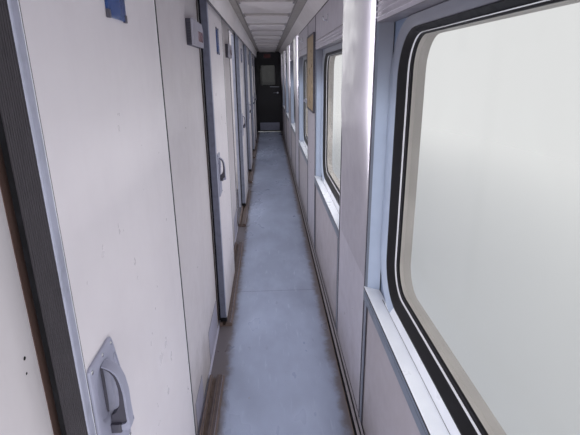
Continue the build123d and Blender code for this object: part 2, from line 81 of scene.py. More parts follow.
def up(height):
    """A height above the floor as z."""
    return FLOOR + height


# %% [markdown]
# ## Camera
# The photograph was taken from eye height with a phone held almost level, looking down the
# corridor. The camera stands there, 40 mm in front of the cut end. Three turns in a row give
# its direction: a roll of under a degree, a pitch of 18 degrees down, and a yaw to the right.

# %% Place the camera
EYE = (0.060, -6.190, 1.750)
PHOTO_W, FOCAL_PX, FILM_W = 580, 449.8, 36
YAW, PITCH, ROLL = radians(-2.52), radians(71.96), radians(-0.67)
camera = bpy.data.objects.new("camera", bpy.data.cameras.new("camera"))
camera.data.sensor_width = FILM_W
camera.data.lens = FILM_W * FOCAL_PX / PHOTO_W
camera.data.clip_start = 0.01
turns = Matrix.Rotation(YAW, 4, "Z") @ Matrix.Rotation(PITCH, 4, "X") @ Matrix.Rotation(ROLL, 4, "Z")
camera.matrix_world = Matrix.Translation(EYE) @ turns
bpy.context.scene.collection.objects.link(camera)
bpy.context.scene.camera = camera
bpy.context.scene.view_settings.view_transform = "Standard"
print(f"lens {camera.data.lens:.2f} mm on {FILM_W} mm film")

# %% [markdown]
# ## Shapes from arrays
# Every new piece below is a grid of points worked out with numpy: rows along a path, columns
# round an outline. Modelling by hand or with booleans would also do, but a formula keeps the
# real sizes in view, and a rolled or extruded profile is what most coach fittings are.

# %% Grids, outlines and lofts


def grid(points, wrap_rows=False, caps=False):
    """Vertices and faces of points[i, j], whose columns close on themselves: each face joins
    (i, j), (i + 1, j), (i + 1, j + 1) and (i, j + 1). Wrapped rows join the last to the first,
    and caps close the first and the last row."""
    rows, columns = points.shape[:2]
    index = np.arange(rows * columns).reshape(rows, columns)
    if wrap_rows:
        index = np.vstack([index, index[:1]])
    index = np.hstack([index, index[:, :1]])
    corners = index[:-1, :-1], index[1:, :-1], index[1:, 1:], index[:-1, 1:]
    faces = np.stack(corners, -1).reshape(-1, 4).tolist()
    if caps:
        faces += [index[0, :columns].tolist(), index[-1, :columns][::-1].tolist()]
    return points.reshape(-1, 3), faces


def unit(vectors):
    """Each vector divided by its length."""
    return vectors / np.linalg.norm(vectors, axis=-1, keepdims=True)


def circle(count):
    """A circle of radius 1, as evenly spaced points."""
    turn = np.linspace(0, 2 * np.pi, count, endpoint=False)
    return np.stack([np.cos(turn), np.sin(turn)], -1)


def fillet(corners, radius, steps=3):
    """A closed outline with round corners: at each corner an arc touches both sides, its
    centre on the line that halves the angle, at radius / sin(half angle) from the corner."""
    p = np.array(corners, float)
    before, after = unit(np.roll(p, 1, 0) - p), unit(np.roll(p, -1, 0) - p)
    half = np.arccos(np.clip((before * after).sum(1), -1, 1)) / 2
    r = np.broadcast_to(radius, len(p)).astype(float)
    centre = p + unit(before + after) * (r / np.sin(half))[:, None]
    start = p + before * (r / np.tan(half))[:, None] - centre
    end = p + after * (r / np.tan(half))[:, None] - centre
    turn = (np.pi - 2 * half)[:, None]
    t = np.linspace(0, 1, steps + 1)[None]
    w0, w1 = (np.sin(part * turn)[..., None] / np.sin(turn)[..., None] for part in (1 - t, t))
    return (centre[:, None] + w0 * start[:, None] + w1 * end[:, None]).reshape(-1, 2)


def rect(low_1, high_1, low_2, high_2, radius=0.0, steps=3):
    """A rectangle's outline between limits in two directions, with round corners."""
    return fillet([(low_1, low_2), (high_1, low_2), (high_1, high_2), (low_1, high_2)], radius, steps)


def scaled(outline, centre, share):
    """An outline drawn in about a centre to a share of its size."""
    return np.array(centre) + (outline - np.array(centre)) * share


def loft(axis, *stations, ring=False):
    """Closed outlines joined one after another along x, y or z: a station is a place and an
    outline, whose two columns are the other two directions. A ring closes on its start."""
    along_axis = "xyz".index(axis)
    points = np.zeros((len(stations), len(stations[0][1]), 3))
    for row, (place, outline) in zip(points, stations):
        row[:, along_axis] = place
        row[:, [i for i in range(3) if i != along_axis]] = outline
    return grid(points, wrap_rows=ring, caps=not ring)


def along(outline, ends=ENDS):
    """An outline in x and height, carried along the corridor from one end to the other."""
    outline = np.array(outline, float) + (0, FLOOR)
    return loft("y", *((end, outline) for end in ends))


def upright(outline, y, heights, side=1):
    """An outline in x and y, measured from a place, carried from one height to another. Side
    -1 turns it round to the other side of the place."""
    outline = np.array(outline) * (1, side) + (0, y)
    return loft("z", *((up(height), outline) for height in heights))


def block(x, y, heights, radius=0.0):
    """A box between limits in x, y and height, its upright edges rounded."""
    return upright(rect(*x, *y, radius), 0, heights)


def boxes(places, *limits, radius=0.0):
    """A box for each set of limits at each place along the corridor: limits in x, in y from
    the place, and in height."""
    return [block(x, np.add(y, place), heights, radius) for place in places for x, y, heights in limits]


def tube(path, radius, sides=12):
    """A round bar along a path: circles of the radius, each across the path's direction. The
    direction at a point is the difference of its neighbours."""
    p = np.array(path, float)
    direction = unit(np.gradient(p, axis=0))
    side = unit(np.cross(direction, (0.31, 0.42, 0.85)))
    other = np.cross(direction, side)
    r = np.broadcast_to(radius, len(p)).astype(float)[:, None, None]
    cos, sin = circle(sides).T[..., None]
    return grid(p[:, None] + r * (cos * side[:, None] + sin * other[:, None]), caps=True)


print("a block has", len(block((0, 1), (0, 1), (0, 1))[0]), "points, its corners doubled for their arcs")

# %% [markdown]
# ## From an outline to a piece of the coach
# A piece is one mesh with one finish that rides on one body. Several surfaces go into one
# piece where they are the same part repeated, such as six window seals, so that the coach
# stays a short list of things a fitter would name.

# %% Make a piece
made = []


def piece(name, surfaces, material, slot, replaces="", body="coach_section", bevel=0.0, sharp=38):
    """Join surfaces into one mesh in metres, close its seams, point its faces outwards, give
    it its finish and let it ride on a body, in place of the CAD nodes it replaces."""
    vertices, faces, first = [], [], 0
    for points, quads in surfaces:
        vertices.append(points * MM)
        faces += [[first + i for i in quad] for quad in quads]
        first += len(points)
    mesh = bpy.data.meshes.new(name)
    mesh.from_pydata(np.vstack(vertices).tolist(), [], faces)
    shell = bmesh.new()
    shell.from_mesh(mesh)
    bmesh.ops.remove_doubles(shell, verts=shell.verts, dist=1e-6)
    bmesh.ops.dissolve_degenerate(shell, edges=shell.edges, dist=1e-6)
    bmesh.ops.recalc_face_normals(shell, faces=shell.faces)
    shell.to_mesh(mesh)
    shell.free()
    mesh.shade_smooth()
    mesh.set_sharp_from_angle(angle=radians(sharp))
    mesh.materials.append(material)
    new = bpy.data.objects.new(name, mesh)
    bpy.context.scene.collection.objects.link(new)
    if bevel:
        rounding = new.modifiers.new("rounding", "BEVEL")
        rounding.width, rounding.segments, rounding.limit_method = bevel * MM, 2, "ANGLE"
        rounding.angle_limit = radians(50)
        rounding.harden_normals = True
    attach(new, body)
    if replaces:
        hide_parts(*replaces.split())
    made.append((name, len(mesh.polygons)))


print("pieces can be made")

# %% [markdown]
# ## Materials
# A finish is a colour, a gloss and a grain. Each one below starts from the real material,
# with patterns whose sizes are real sizes in millimetres, read in Object coordinates, which
# are the coach's own. Image textures could do this too, but a pattern made of nodes has no
# seams and no end, and needs no unwrapping.

# %% Colours, and the function that adds a node


def linear(code):
    """A hex sRGB colour as linear RGBA."""
    srgb = np.array([int(code[i:i + 2], 16) for i in (1, 3, 5)]) / 255
    rgb = np.where(srgb <= 0.04045, srgb / 12.92, ((srgb + 0.055) / 1.055) ** 2.4)
    return (*rgb.tolist(), 1.0)


def add(tree, kind, inputs=None, out=0, **settings):
    """Add a node and give one of its outputs: settings are its properties, and inputs its
    sockets by name or number, each a value or another node's output. With no output, the
    node itself comes back."""
    node = tree.nodes.new("ShaderNode" + kind)
    for name, value in settings.items():
        setattr(node, name, value)
    for key, value in (inputs or {}).items():
        if isinstance(value, bpy.types.NodeSocket):
            tree.links.new(value, node.inputs[key])
        else:
            node.inputs[key].default_value = value
    return node if out is None else node.outputs[out]


print("linear mid grey is", round(linear("#808080")[0], 3))

# %% [markdown]
# ### What every finish has
# Real surfaces are never one colour. Over each base colour lie blotches: dirt, wear, scuffs,
# bloom. A blotch is where a noise rises past a level, and what tells dirt from a scratch is
# only its size, its sharpness and how far it is drawn out, so one line per coat holds them.

# %% Blotches, coats and their links
ROUND, UPRIGHT, LENGTHWISE = (1, 1, 1), (1, 1, 40), (1, 40, 1)  # how a pattern is drawn out
SOFT = {"interpolation_type": "SMOOTHSTEP"}


def start(name, code, roughness, metallic=0.0, **sockets):
    """A material with its shader's plain values set: material, shader, Object coordinates."""
    material = bpy.data.materials.new(name)
    material.use_nodes = True
    tree = material.node_tree
    shader = tree.nodes["Principled BSDF"]
    values = {"Base Color": linear(code), "Roughness": roughness, "Metallic": metallic}
    for key, value in {**values, **sockets}.items():
        shader.inputs[key].default_value = value
    return material, shader, add(tree, "TexCoord", out="Object")


def blotches(here, size, low, high, amount=1.0, stretch=ROUND, detail=4.0):
    """0 to amount as a noise rises from low to high. Its lumps are size mm across, times
    stretch in x, y and z."""
    tree = here.id_data
    place = add(tree, "Mapping", {"Vector": here, "Scale": [1 / s for s in stretch]})
    noise = {"Vector": place, "Scale": 1000 / size, "Detail": detail, "Roughness": 0.6}
    lumps = add(tree, "TexNoise", noise)
    return add(tree, "MapRange", {"Value": lumps, "From Min": low, "From Max": high, "To Max": amount})


def coats(here, base, *layers):
    """Colours laid over a base, each a hex code with a cover: how much of it shows where, as
    a node's output, or the numbers of its blotches."""
    for code, *cover in layers:
        shown = cover[0] if len(cover) == 1 else blotches(here, *cover)
        base = add(here.id_data, "Mix", {0: shown, 6: base, 7: linear(code)}, 2, data_type="RGBA")
    return base


def near_floor(here, reach, grime):
    """How dirty a surface is near the floor: grime at the floor, 0 a reach in mm above it,
    with an edge broken by lumps of 110 mm."""
    tree = here.id_data
    uneven = blotches(here, 110, 0.3, 0.7, 0.7 * reach * MM)
    height = add(tree, "SeparateXYZ", {"Vector": here}, "Z")
    lifted = add(tree, "Math", {0: height, 1: uneven}, operation="ADD")
    low = up(0.35 * reach) * MM
    fall = {"Value": lifted, "From Min": low, "From Max": low + reach * MM, "To Min": 1.0, "To Max": 0.0}
    return add(tree, "Math", {0: add(tree, "MapRange", fall, **SOFT), 1: grime}, operation="MULTIPLY")


def surface(shader, colour, pattern=None, gloss=None, relief=None):
    """Link a colour to a shader, a gloss that runs between two values with a pattern, and a
    relief of (pattern, height in mm)."""
    tree = shader.id_data
    tree.links.new(colour, shader.inputs["Base Color"])
    if gloss:
        rough = add(tree, "MapRange", {"Value": pattern, "To Min": gloss[0], "To Max": gloss[1]})
        tree.links.new(rough, shader.inputs["Roughness"])
    if relief:
        normal = add(tree, "Bump", {"Height": relief[0], "Distance": relief[1] * MM})
        tree.links.new(normal, shader.inputs["Normal"])


print("a pattern of 1.2 mm drawn upright is", [1.2 * s for s in UPRIGHT], "mm")

# %% [markdown]
# ### Laminates
# Doors, partition and linings are board faced with melamine laminate: paper and resin pressed
# hard against a plate. To the eye it is an even colour with a soft gloss that wavers a little,
# grubby near the floor and here and there scratched. A photograph of laminate would repeat
# along twelve metres of wall; noises of different sizes don't.

# %% Laminates
SCRATCH, GRIME = "#A39DA1", "#766E6C"


def laminate(name, code, dirty, roughness=0.36, wave=0.03, scratched=0.2):
    """Pressed melamine: a colour that wanders over 300 mm, hairline scratches, dirt near the
    floor and an orange-peel gloss."""
    material, shader, here = start(name, code, roughness)
    base = coats(here, linear(code), (dirty, 310, 0.35, 0.7, 0.5),
                 (SCRATCH, 9, 0.745, 0.79, scratched, (1, 1, 9)), (dirty, 60, 0.5, 0.8, 0.35, (1, 1, 3)),
                 (GRIME, near_floor(here, 420, 0.4)))
    peel = blotches(here, 18, 0.2, 0.8, detail=2)
    surface(shader, base, blotches(here, 70, 0.3, 0.7), (roughness - 0.05, roughness + 0.08), (peel, wave))
    return material


cream_laminate = laminate("melamine_laminate_cream", "#D0CBD0", "#C2BCC0")  # a warm pale grey, softly glossy
door_laminate = laminate("melamine_laminate_door", "#D6D1D7", "#C9C3CA", 0.32)  # paler and glossier
lining_laminate = laminate("melamine_laminate_lilac", "#B4B0BC", "#A8A4AF", 0.32)  # cool, catches the windows
taupe_laminate = laminate("melamine_laminate_taupe", "#A7A1A8", "#9A9399", 0.38)  # duller, below the sills
pelmet_laminate = laminate("melamine_laminate_pelmet", "#EAE6EA", "#DCD7DC", 0.34)  # whiter than the ceiling
ceiling_laminate = laminate("melamine_laminate_ceiling", "#BDB7BB", "#AFA8AB", 0.34)  # a light warm grey, duller than the pelmet
recess_laminate = laminate("melamine_laminate_recess", "#87817F", "#7B7573", 0.45)  # dim ground of the recesses
cover_gelcoat = laminate("moulded_gelcoat", "#A39FAA", "#9A96A1", 0.34, 0.004, 0)  # smooth, so it streaks light
print("laminates:", [m.name for m in bpy.data.materials if "laminate" in m.name])

# %% [markdown]
# ### Floor covering
# The floor is sheet vinyl over boards: blue-grey, filled with fine chips, dulled along the
# middle by shoes and darker where the broom doesn't reach. Sculpting that wear would be
# wasted on a flat floor; it is colour and gloss, so it is done with noises, of which the
# scuffs are drawn out along the corridor, the way people walk.

# %% Floor covering
FLOOR_MIDDLE, CLEAN_HALF, DIRTY_HALF = 90, 272, 325  # across the floor: clean out to 272, dirty from 325


def sheet_vinyl(name, code):
    """Chips of 2 mm, scuffs 150 mm long, dull patches, and dirt within 70 mm of the walls."""
    material, shader, here = start(name, code, 0.36)
    tree = shader.id_data
    worn = (420, 0.42, 0.66)
    across = add(tree, "SeparateXYZ", {"Vector": here}, "X")
    middle = add(tree, "Math", {0: across, 1: FLOOR_MIDDLE * MM}, operation="SUBTRACT")
    out = add(tree, "Math", {0: middle}, operation="ABSOLUTE")
    ragged = add(tree, "Math", {0: out, 1: blotches(here, 75, 0.3, 0.7, 0.035)}, operation="ADD")
    rise = {"Value": ragged, "From Min": CLEAN_HALF * MM, "From Max": DIRTY_HALF * MM, "To Max": 0.85}
    base = coats(here, linear(code), ("#9AA2BA", 2.4, 0.35, 0.65, 0.45), ("#777F95", *worn, 0.75, (1, 2, 1)),
                 ("#A6AEC6", 22, 0.60, 0.72, 0.35, (1, 7, 1)), ("#5A5E6C", 34, 0.68, 0.74, 0.4, (1, 4, 1)),
                 ("#4B4E59", 9, 0.75, 0.78, 0.6), ("#5E5452", add(tree, "MapRange", rise, **SOFT)))
    chips = blotches(here, 7, 0.2, 0.8)
    surface(shader, base, blotches(here, *worn, 1.0, (1, 2, 1)), (0.26, 0.42), (chips, 0.03))
    return material


floor_vinyl = sheet_vinyl("sheet_vinyl_blue_grey", "#8B94AD")  # a cool floor that shines towards the end
print("floor covering:", floor_vinyl.name)

# %% [markdown]
# ### Metals and paints
# Trims are extruded aluminium, drawn through a die and anodised, so they carry faint lines
# along their length. Pulls are die-cast zinc with a hammered paint. Steel is painted. Brushed
# lines could be modelled, but at a tenth of a millimetre only the gloss tells them, so they
# are a noise drawn out along the metal, a little coarser than life.

# %% Drawn metal and sprayed paint


def drawn_metal(name, code, dark, roughness, stretch, metallic=1.0):
    """An extrusion: lines 1.2 mm wide and 48 long, and dull spots where it is handled."""
    material, shader, here = start(name, code, roughness, metallic)
    lines = blotches(here, 1.2, 0.3, 0.7, 1.0, stretch, 2)
    base = coats(here, linear(code), (dark, 1.2, 0.3, 0.7, 0.5, stretch), (dark, 42, 0.5, 0.72, 0.6))
    surface(shader, base, lines, (roughness - 0.05, roughness + 0.12), (lines, 0.005))
    return material


def paint(name, code, worn, roughness=0.4, grain=4.0, depth=0.012, metallic=0.0, top_shade=None):
    """Sprayed paint: fine orange peel, a slow drift towards its worn tone, and small chips. A
    top shade, where one is given, is painted shade that darkens the top 360 mm of a window."""
    material, shader, here = start(name, code, roughness, metallic)
    base = coats(here, linear(code), (worn, 140, 0.35, 0.7, 0.6), (worn, 8, 0.68, 0.74, 0.5))
    gloss = (roughness - 0.04, roughness + 0.08)
    if top_shade:
        height = add(shader.id_data, "SeparateXYZ", {"Vector": here}, "Z")
        rise = {"Value": height, "From Min": up(1330) * MM, "From Max": up(1690) * MM, "To Max": 0.85}
        base, gloss = coats(here, base, (top_shade, add(shader.id_data, "MapRange", rise, **SOFT))), None
    surface(shader, base, blotches(here, 140, 0.35, 0.7), gloss, (blotches(here, grain, 0.2, 0.8), depth))
    return material


upright_aluminium = drawn_metal("anodised_aluminium_upright", "#AEB0C4", "#8E909F", 0.36, UPRIGHT, 0.3)  # bluish, paler and less metallic than the metal, so its colour paints part of the metal's bright reflection
long_aluminium = drawn_metal("anodised_aluminium_lengthwise", "#A9ABBA", "#858794", 0.34, LENGTHWISE)
seam_metal = drawn_metal("anodised_aluminium_dark", "#6B6874", "#4A4750", 0.34, UPRIGHT, 0.8)  # dark; the bright line along its groove is a painted highlight
smoke_aluminium = drawn_metal("anodised_aluminium_smoke", "#7F8294", "#5E606F", 0.4, UPRIGHT, 0.3)  # duller
near_flutes_shaded = drawn_metal("fluted_face_shaded_charcoal", "#3B373D", "#2E2B31", 0.5, UPRIGHT, 0.0)  # matt, nearly brown, and painted darker for the shade on the nearest door's flutes
brown_pvc = drawn_metal("extruded_pvc_brown", "#75655F", "#43352F", 0.42, LENGTHWISE, 0.0)  # chocolate, streaked
skirting_pvc = drawn_metal("extruded_pvc_grey", "#9E989E", "#77727A", 0.4, LENGTHWISE, 0.0)  # a dull gleam
bright_strip = drawn_metal("locking_strip_and_painted_glints", "#F2F3F8", "#D9DBE2", 0.14, ROUND, 0.3)  # a white line: nearly white and barely metallic, so its colour paints the reflection of polished metal; it also makes the painted glints
chrome = drawn_metal("chrome_plate", "#E4E5EA", "#C6C8D0", 0.08, ROUND)  # all highlights and reflections
print(len(bpy.data.materials), "materials so far")

# %% Paints and plastics of the corridor
sill_paint = paint("powder_coated_sill", "#E3E6EF", "#D3D7E2", 0.3)  # the brightest thing in the corridor
sill_front = paint("sill_front_paint", "#737B8B", "#646B79", 0.36)  # blue-grey, painted darker for the shade on the sill's front, which faces away from the window
shaded_head_paint = paint("reveal_head_grey", "#6A6771", "#5D5A64", 0.4)  # grey, and painted darker than the jambs for the shade the heads lie in
# painted shade: the reveal paint darkens up the top of each window, where shade falls
reveal_paint = paint("reveal_paint_blue_grey", "#AEBBD2", "#9FACC3", 0.34, top_shade="#5C5A63")  # bluer than its lining
spacer_paint = paint("pane_spacer", "#A39E9A", "#989390", 0.5)  # the pale edge seen through a pane, painted pale for the daylight on it outside
cast_paint = paint("hammered_paint_on_zinc", "#9C9DB2", "#87889A", 0.3, 2.4, 0.03)  # finely dimpled, so it glitters
box_paint = paint("moulded_abs_lilac", "#A5A3B1", "#94929F", 0.42)  # chalky plastic
dark_abs_and_shade = paint("charcoal_abs_and_painted_shade", "#4B4955", "#3D3B46", 0.42)  # plain dark plastic with worn edges; also the painted shade strips of creases and the pelmet
corner_pvc = paint("corner_profile_slate", "#747B8A", "#646A78", 0.4)  # blue-grey plastic, a shade under the jambs
reflection_strip_paint = paint("painted_reflection_brown", "#5C4640", "#463430", 0.8, 2.0)  # brown strips that paint a reflection beside each door slot
display_face = paint("display_window_red", "#7B5A60", "#6A4B52", 0.24)  # a blank display, dull red in its window
plate_paint = paint("access_plate_paint", "#A7A6BA", "#9594A6", 0.34)  # lilac, like the trims
end_paint = paint("end_wall_paint_charcoal", "#211F26", "#1B1A20", 0.4)  # nearly black, without an edge
door_paint = paint("end_door_paint_charcoal", "#18171D", "#131217", 0.35)  # darker still
print(len(bpy.data.materials), "materials so far")

# %% [markdown]
# ### The outside, the signs and the plates
# The coach's outside is painted steel with road and brake dust on it. Small plates are
# enamelled or varnished, and shine in spots.

# %% More paints
coach_paint = paint("coach_side_paint", "#7E8DA8", "#6C7993", 0.3, 9)  # enamel over filler, faintly wavy
roof_paint = paint("coach_roof_paint", "#8E9296", "#74777A", 0.55)  # matt, sooty
primer = paint("red_oxide_primer", "#6B4A40", "#54403A", 0.6, 6, 0.03)  # dull brown-red, rough
galvanised = paint("galvanised_sheet", "#9EA3A6", "#85898C", 0.42, 11, 0.02, 0.7)  # zinc, with dark spangles
insulation_foil = paint("foil_faced_insulation", "#C4C6C9", "#9B9DA1", 0.3, 40, 0.6, 0.85)  # crumpled foil
wool_paint = paint("mineral_wool", "#B8A265", "#8F7C4A", 0.85, 5, 0.5)  # yellow fibre, matt and lumpy
sign_face = paint("signal_red_acrylic", "#5A1019", "#420B12", 0.18)  # an unlit sign, deep red and shiny
plaque_enamel = paint("enamelled_plaque_blue", "#28437A", "#213A6C", 0.2, 2)  # hard, deep blue
board_face = paint("notice_board_varnish", "#9A8054", "#826A44", 0.3)  # amber varnish over board
crumb_paint = paint("grit_and_paper", "#9A958E", "#6B6660", 0.8)  # dust colour, dry
print(len(bpy.data.materials), "materials so far")

# %% [markdown]
# ### Rubber, glass, board
# Window rubber is EPDM: near black, a dull sheen, never quite clean. The panes are tinted
# safety glass. Real refraction through a pane costs much light and time and shows nothing
# here, so the glass is a thin gloss that lets most light straight through.

# %% Rubber, glass, board
PANE_ALPHA = 0.12  # how much a pane holds back


def rubber(name, code):
    """EPDM: nearly black with grey bloom in patches of a few centimetres."""
    material, shader, here = start(name, code, 0.45, **{"Specular IOR Level": 0.25})
    patches = (36, 0.5, 0.8)
    base = coats(here, linear(code), ("#26262C", *patches, 0.6))
    surface(shader, base, blotches(here, *patches), (0.42, 0.6), (blotches(here, 2, 0.2, 0.8), 0.008))
    return material


def glazing(name, code, alpha):
    """Tinted glass: gloss on top, the rest let through, and dust in patches."""
    material, shader, here = start(name, code, 0.03, IOR=1.5, Alpha=alpha)
    dust, tall = (170, 0.45, 0.8), (1, 1, 2.5)
    base = coats(here, linear(code), ("#8F9088", *dust, 0.2, tall))
    surface(shader, base, blotches(here, *dust, 1.0, tall), (0.02, 0.08))
    return material


def plywood(name, ply=3):
    """Board seen on its cut edge: plies 3 mm thick, light and dark in turn, with long grain."""
    material, shader, here = start(name, "#A88658", 0.6)
    tree, lengthwise = shader.id_data, (1, 16, 1)
    height = add(tree, "SeparateXYZ", {"Vector": here}, "Z")
    pair = add(tree, "Math", {0: height, 1: 2 * ply * MM}, operation="MODULO")
    dark = add(tree, "Math", {0: pair, 1: ply * MM}, operation="GREATER_THAN")
    base = coats(here, linear("#B08F63"), ("#8C6B42", dark), ("#7A5B38", 8, 0.35, 0.7, 0.5, lengthwise))
    surface(shader, base, relief=(blotches(here, 8, 0.2, 0.8, 1.0, lengthwise), 0.05))
    return material


# the same black also makes painted shade: strips in the skirting's gaps and at the doors' edges
seal_rubber = rubber("epdm_rubber_and_painted_shade", "#0C0C10")
window_glass = glazing("tinted_safety_glass", "#3C4642", PANE_ALPHA)  # a grey-green cast over the view
dark_glass = glazing("dark_wired_glass", "#121218", 0.94)
floor_board = plywood("birch_plywood")
print("glass lets", 1 - PANE_ALPHA, "of the light through")

# %% [markdown]
# ## Finishes of the structure
# The CAD model already has the right shape for most of the coach. Those parts only get their
# finish here, because a second copy of a flat panel would add nothing.

# %% Finishes of the CAD nodes
each_door = range(1, DOOR_COUNT + 1)
finishes = (
    (primer, "underframe underframe_bearers"), (galvanised, "floor_pan roof_ribs"), (floor_board, "floor_boards"),
    (floor_vinyl, "floor_covering"), (coach_paint, "side_waist window_band"), (roof_paint, "roof_skin"),
    (seal_rubber, "window_seals"), (window_glass, "window_glass"), (sill_paint, "window_sills"),
    (reveal_paint, "window_frames window_casings window_casing_heads"), (taupe_laminate, "sill_linings"),
    (lining_laminate, "pillar_linings header_linings"), (chrome, "coat_hooks end_door_rail"),
    (upright_aluminium, "drop_window_transom seam_strips doorway_posts"), (long_aluminium, "door_tracks"),
    (brown_pvc, "skirting_rail guide_rails"), (cream_laminate, "partition_panels doorway_headers cross_wall_stubs"),
    (recess_laminate, "ceiling_tray"), (ceiling_laminate, "ceiling_panels ceiling_cove"),
    (pelmet_laminate, "track_pelmet"), (box_paint, "number_boxes"), (board_face, "notice_board"),
    (end_paint, "end_wall end_door_frame"), (sign_face, "exit_sign"), (door_paint, "end_door_leaf"),
    (dark_glass, "end_door_glass"), (door_laminate, " ".join(f"door_{i}_leaf" for i in each_door)),
    (upright_aluminium, " ".join(f"door_{i}_fittings" for i in each_door)),
)
for material, names in finishes:
    for name in names.split():
        nodes[name].data.materials.clear()
        nodes[name].data.materials.append(material)
print(sum(len(names.split()) for _, names in finishes), "nodes have a finish")

# %% [markdown]
# ## Windows
# Each window is one pane held in a thick rubber profile, which grips the glass, laps over the
# frame plate and is wedged tight by a bright locking strip pressed into its groove. The
# profile is drawn once, as a line from the outer edge of the rubber to the glass, and carried
# round a rounded rectangle. A sweep along a curve would do the same, but here the corners of
# the inner and the outer edge have different radii, so the line is stretched between two
# rounded rectangles instead.

# %% Rubbers, locking strips and frame plates
# the edges of rubber and plate, as width, low and high edge, and corner radius
SEAL_OUTER, SEAL_INNER, PLATE_OUTER = (1130, 746, 1667, 150), (960, 808, 1646, 98), (1264, 711, 1700, 200)
SEAL_LINE = [(0, 548), (0, 489), (-0.03, 487.6), (-0.03, 486.2), (0.01, 485.2), (0.07, 485.4), (0.14, 487.5),
             (0.30, 492), (0.50, 498.5), (0.66, 503), (0.74, 503.6), (0.78, 505.2), (0.92, 505.6), (0.98, 506.6),
             (1, 508), (1, 511.4), (0.6, 511.6), (0.6, 524.5), (0.5, 530), (0.4, 545)]
STRIP_LINE = [(0.66, 503), (0.68, 500.8), (0.72, 500.4), (0.76, 501.6), (0.78, 504), (0.72, 506)]
SPACER_LINE = [(0.8, 511.5), (1, 511.5), (1, 524.6), (0.93, 552.5), (0.8, 552.5)]
PLATE_LINE = [(0, 490), (0, 478.6), (0.02, 478), (0.5, 483), (0.99, 488), (1, 488.3), (1, 490)]


def ring_path(width, low, high, radius, steps=9):
    """Points round a rounded rectangle in y and z: four quarter circles and straight runs."""
    turn = np.radians(np.arange(4)[:, None] * 90 + np.linspace(0, 90, steps + 1)).ravel()
    sides = np.repeat([(1, 1), (-1, 1), (-1, -1), (1, -1)], steps + 1, 0)
    centres = sides * (width / 2 - radius, (high - low) / 2 - radius) + (0, up((low + high) / 2))
    return centres + radius * np.stack([np.cos(turn), np.sin(turn)], -1)


def framed(line, outer, inner):
    """A closed line of (t, x) carried round every window: at t the path lies between the
    outer rounded rectangle, t = 0, and the inner one, t = 1."""
    first, second = ring_path(*outer), ring_path(*inner)
    t, x = np.array(line, float).T
    points = np.empty((len(first), len(t), 3))
    points[..., 0] = x
    points[..., 1:] = first[:, None] + t[:, None] * (second - first)[:, None]
    return [grid(points + (0, y, 0), wrap_rows=True) for y in windows]


rubbers = framed(SEAL_LINE, SEAL_OUTER, SEAL_INNER)
piece("window_rubbers", rubbers, seal_rubber, "seal_rubber", "window_seals", sharp=60)
piece("locking_strips", framed(STRIP_LINE, SEAL_OUTER, SEAL_INNER), bright_strip, "bare_aluminium")
# painted light: the spacers cover the opening's outer wall in a pale colour that stands for daylight
piece("pane_spacers", framed(SPACER_LINE, SEAL_OUTER, SEAL_INNER), spacer_paint, "bare_aluminium", sharp=60)
piece("frame_plates", framed(PLATE_LINE, PLATE_OUTER, SEAL_OUTER), reveal_paint, "reveal_paint", "window_frames")
print(made[-4:])

# %% [markdown]
# ### Sills
# A sill is a pressed board with a white coating and a rounded nose, over a grey front strip
# that is painted darker for the shade it lies in.
# Seen from the corridor it is the brightest line there is, because the window lights it from
# behind and above. Its section is an outline with its own radius at the nose, drawn along the
# window.

# %% Sills, jambs and the beads round them
SILL_BOARD = [(431, 705), (436, 705), (436, 690), (488, 690), (488, 711), (431, 713)]
JAMB = [(435, 672.5), (435, 675), (488, 675), (488, 641)]
FOOT = [(477.8, 713), (479, 712), (489, 712), (489, 746.5), (487.7, 746.5)]
FOOT_HALF, REVEAL = 520, (-REVEAL_W / 2, REVEAL_W / 2)


def at_both_sides(outline, heights):
    """An upright outline, measured from a window's middle, at both sides of every window."""
    return [upright(outline, y, heights, side) for y in windows for side in SIDES]


sill_outline = fillet(SILL_BOARD, (1, 0.5, 0.5, 0.5, 1, 3), 4)
boards = [along(sill_outline, np.add(REVEAL, y)) for y in windows]
piece("sill_boards", boards, sill_paint, "sill_aluminium", "window_sills")
# painted shade: the front strips are coloured darker for the shade they lie in
strips = boxes(windows, ((430.6, 438), REVEAL, (654, 687)), ((430.6, 438), REVEAL, (690, 705)))
piece("sill_fronts", strips, sill_front, "sill_aluminium", "window_sills", bevel=0.8)
piece("splayed_jambs", at_both_sides(JAMB, (703, 1702)), reveal_paint, "reveal_paint", "window_casings")
heads = boxes(windows, ((435, 488), REVEAL, (1702, 1705)))
# painted shade: the heads take a darker paint than the jambs because they lie in shade
piece("reveal_heads", heads, shaded_head_paint, "reveal_paint", "window_casing_heads")
# painted light: each frame plate's foot takes the sill's white instead of the plate's blue-grey, so it shows as
# bright as the lit sill
lit_plate_feet = [along(FOOT, (y - FOOT_HALF, y + FOOT_HALF)) for y in windows]
piece("plate_feet", lit_plate_feet, sill_paint, "reveal_paint")
beads = at_both_sides(rect(486.6, 488.4, 638, 641.5), (711, 1700))
beads += boxes(windows, ((429.9, 432), (-674, 674), (705, 710.5)), ((477.4, 479), (-560, 560), (711, 712.4)))
piece("black_beads", beads, seal_rubber, "seal_rubber")
print(made[-6:])

# %% [markdown]
# ### The drop window's fittings
# The third window has an upper pane that can be pulled down. Its crossbar carries a round
# knob at each end. The knob is turned metal, so it is a loft of circles along its axis.

# %% Knobs on the drop window
DROP_WINDOW = 2
KNOB = [(4, 9), (-6, 8), (-12, 9), (-14, 17), (-19, 19), (-24, 18), (-27, 13), (-28, 4)]
SCREW = [(0, 4.2), (-1.0, 4.0), (-1.9, 2.8), (-2.2, 0.8)]


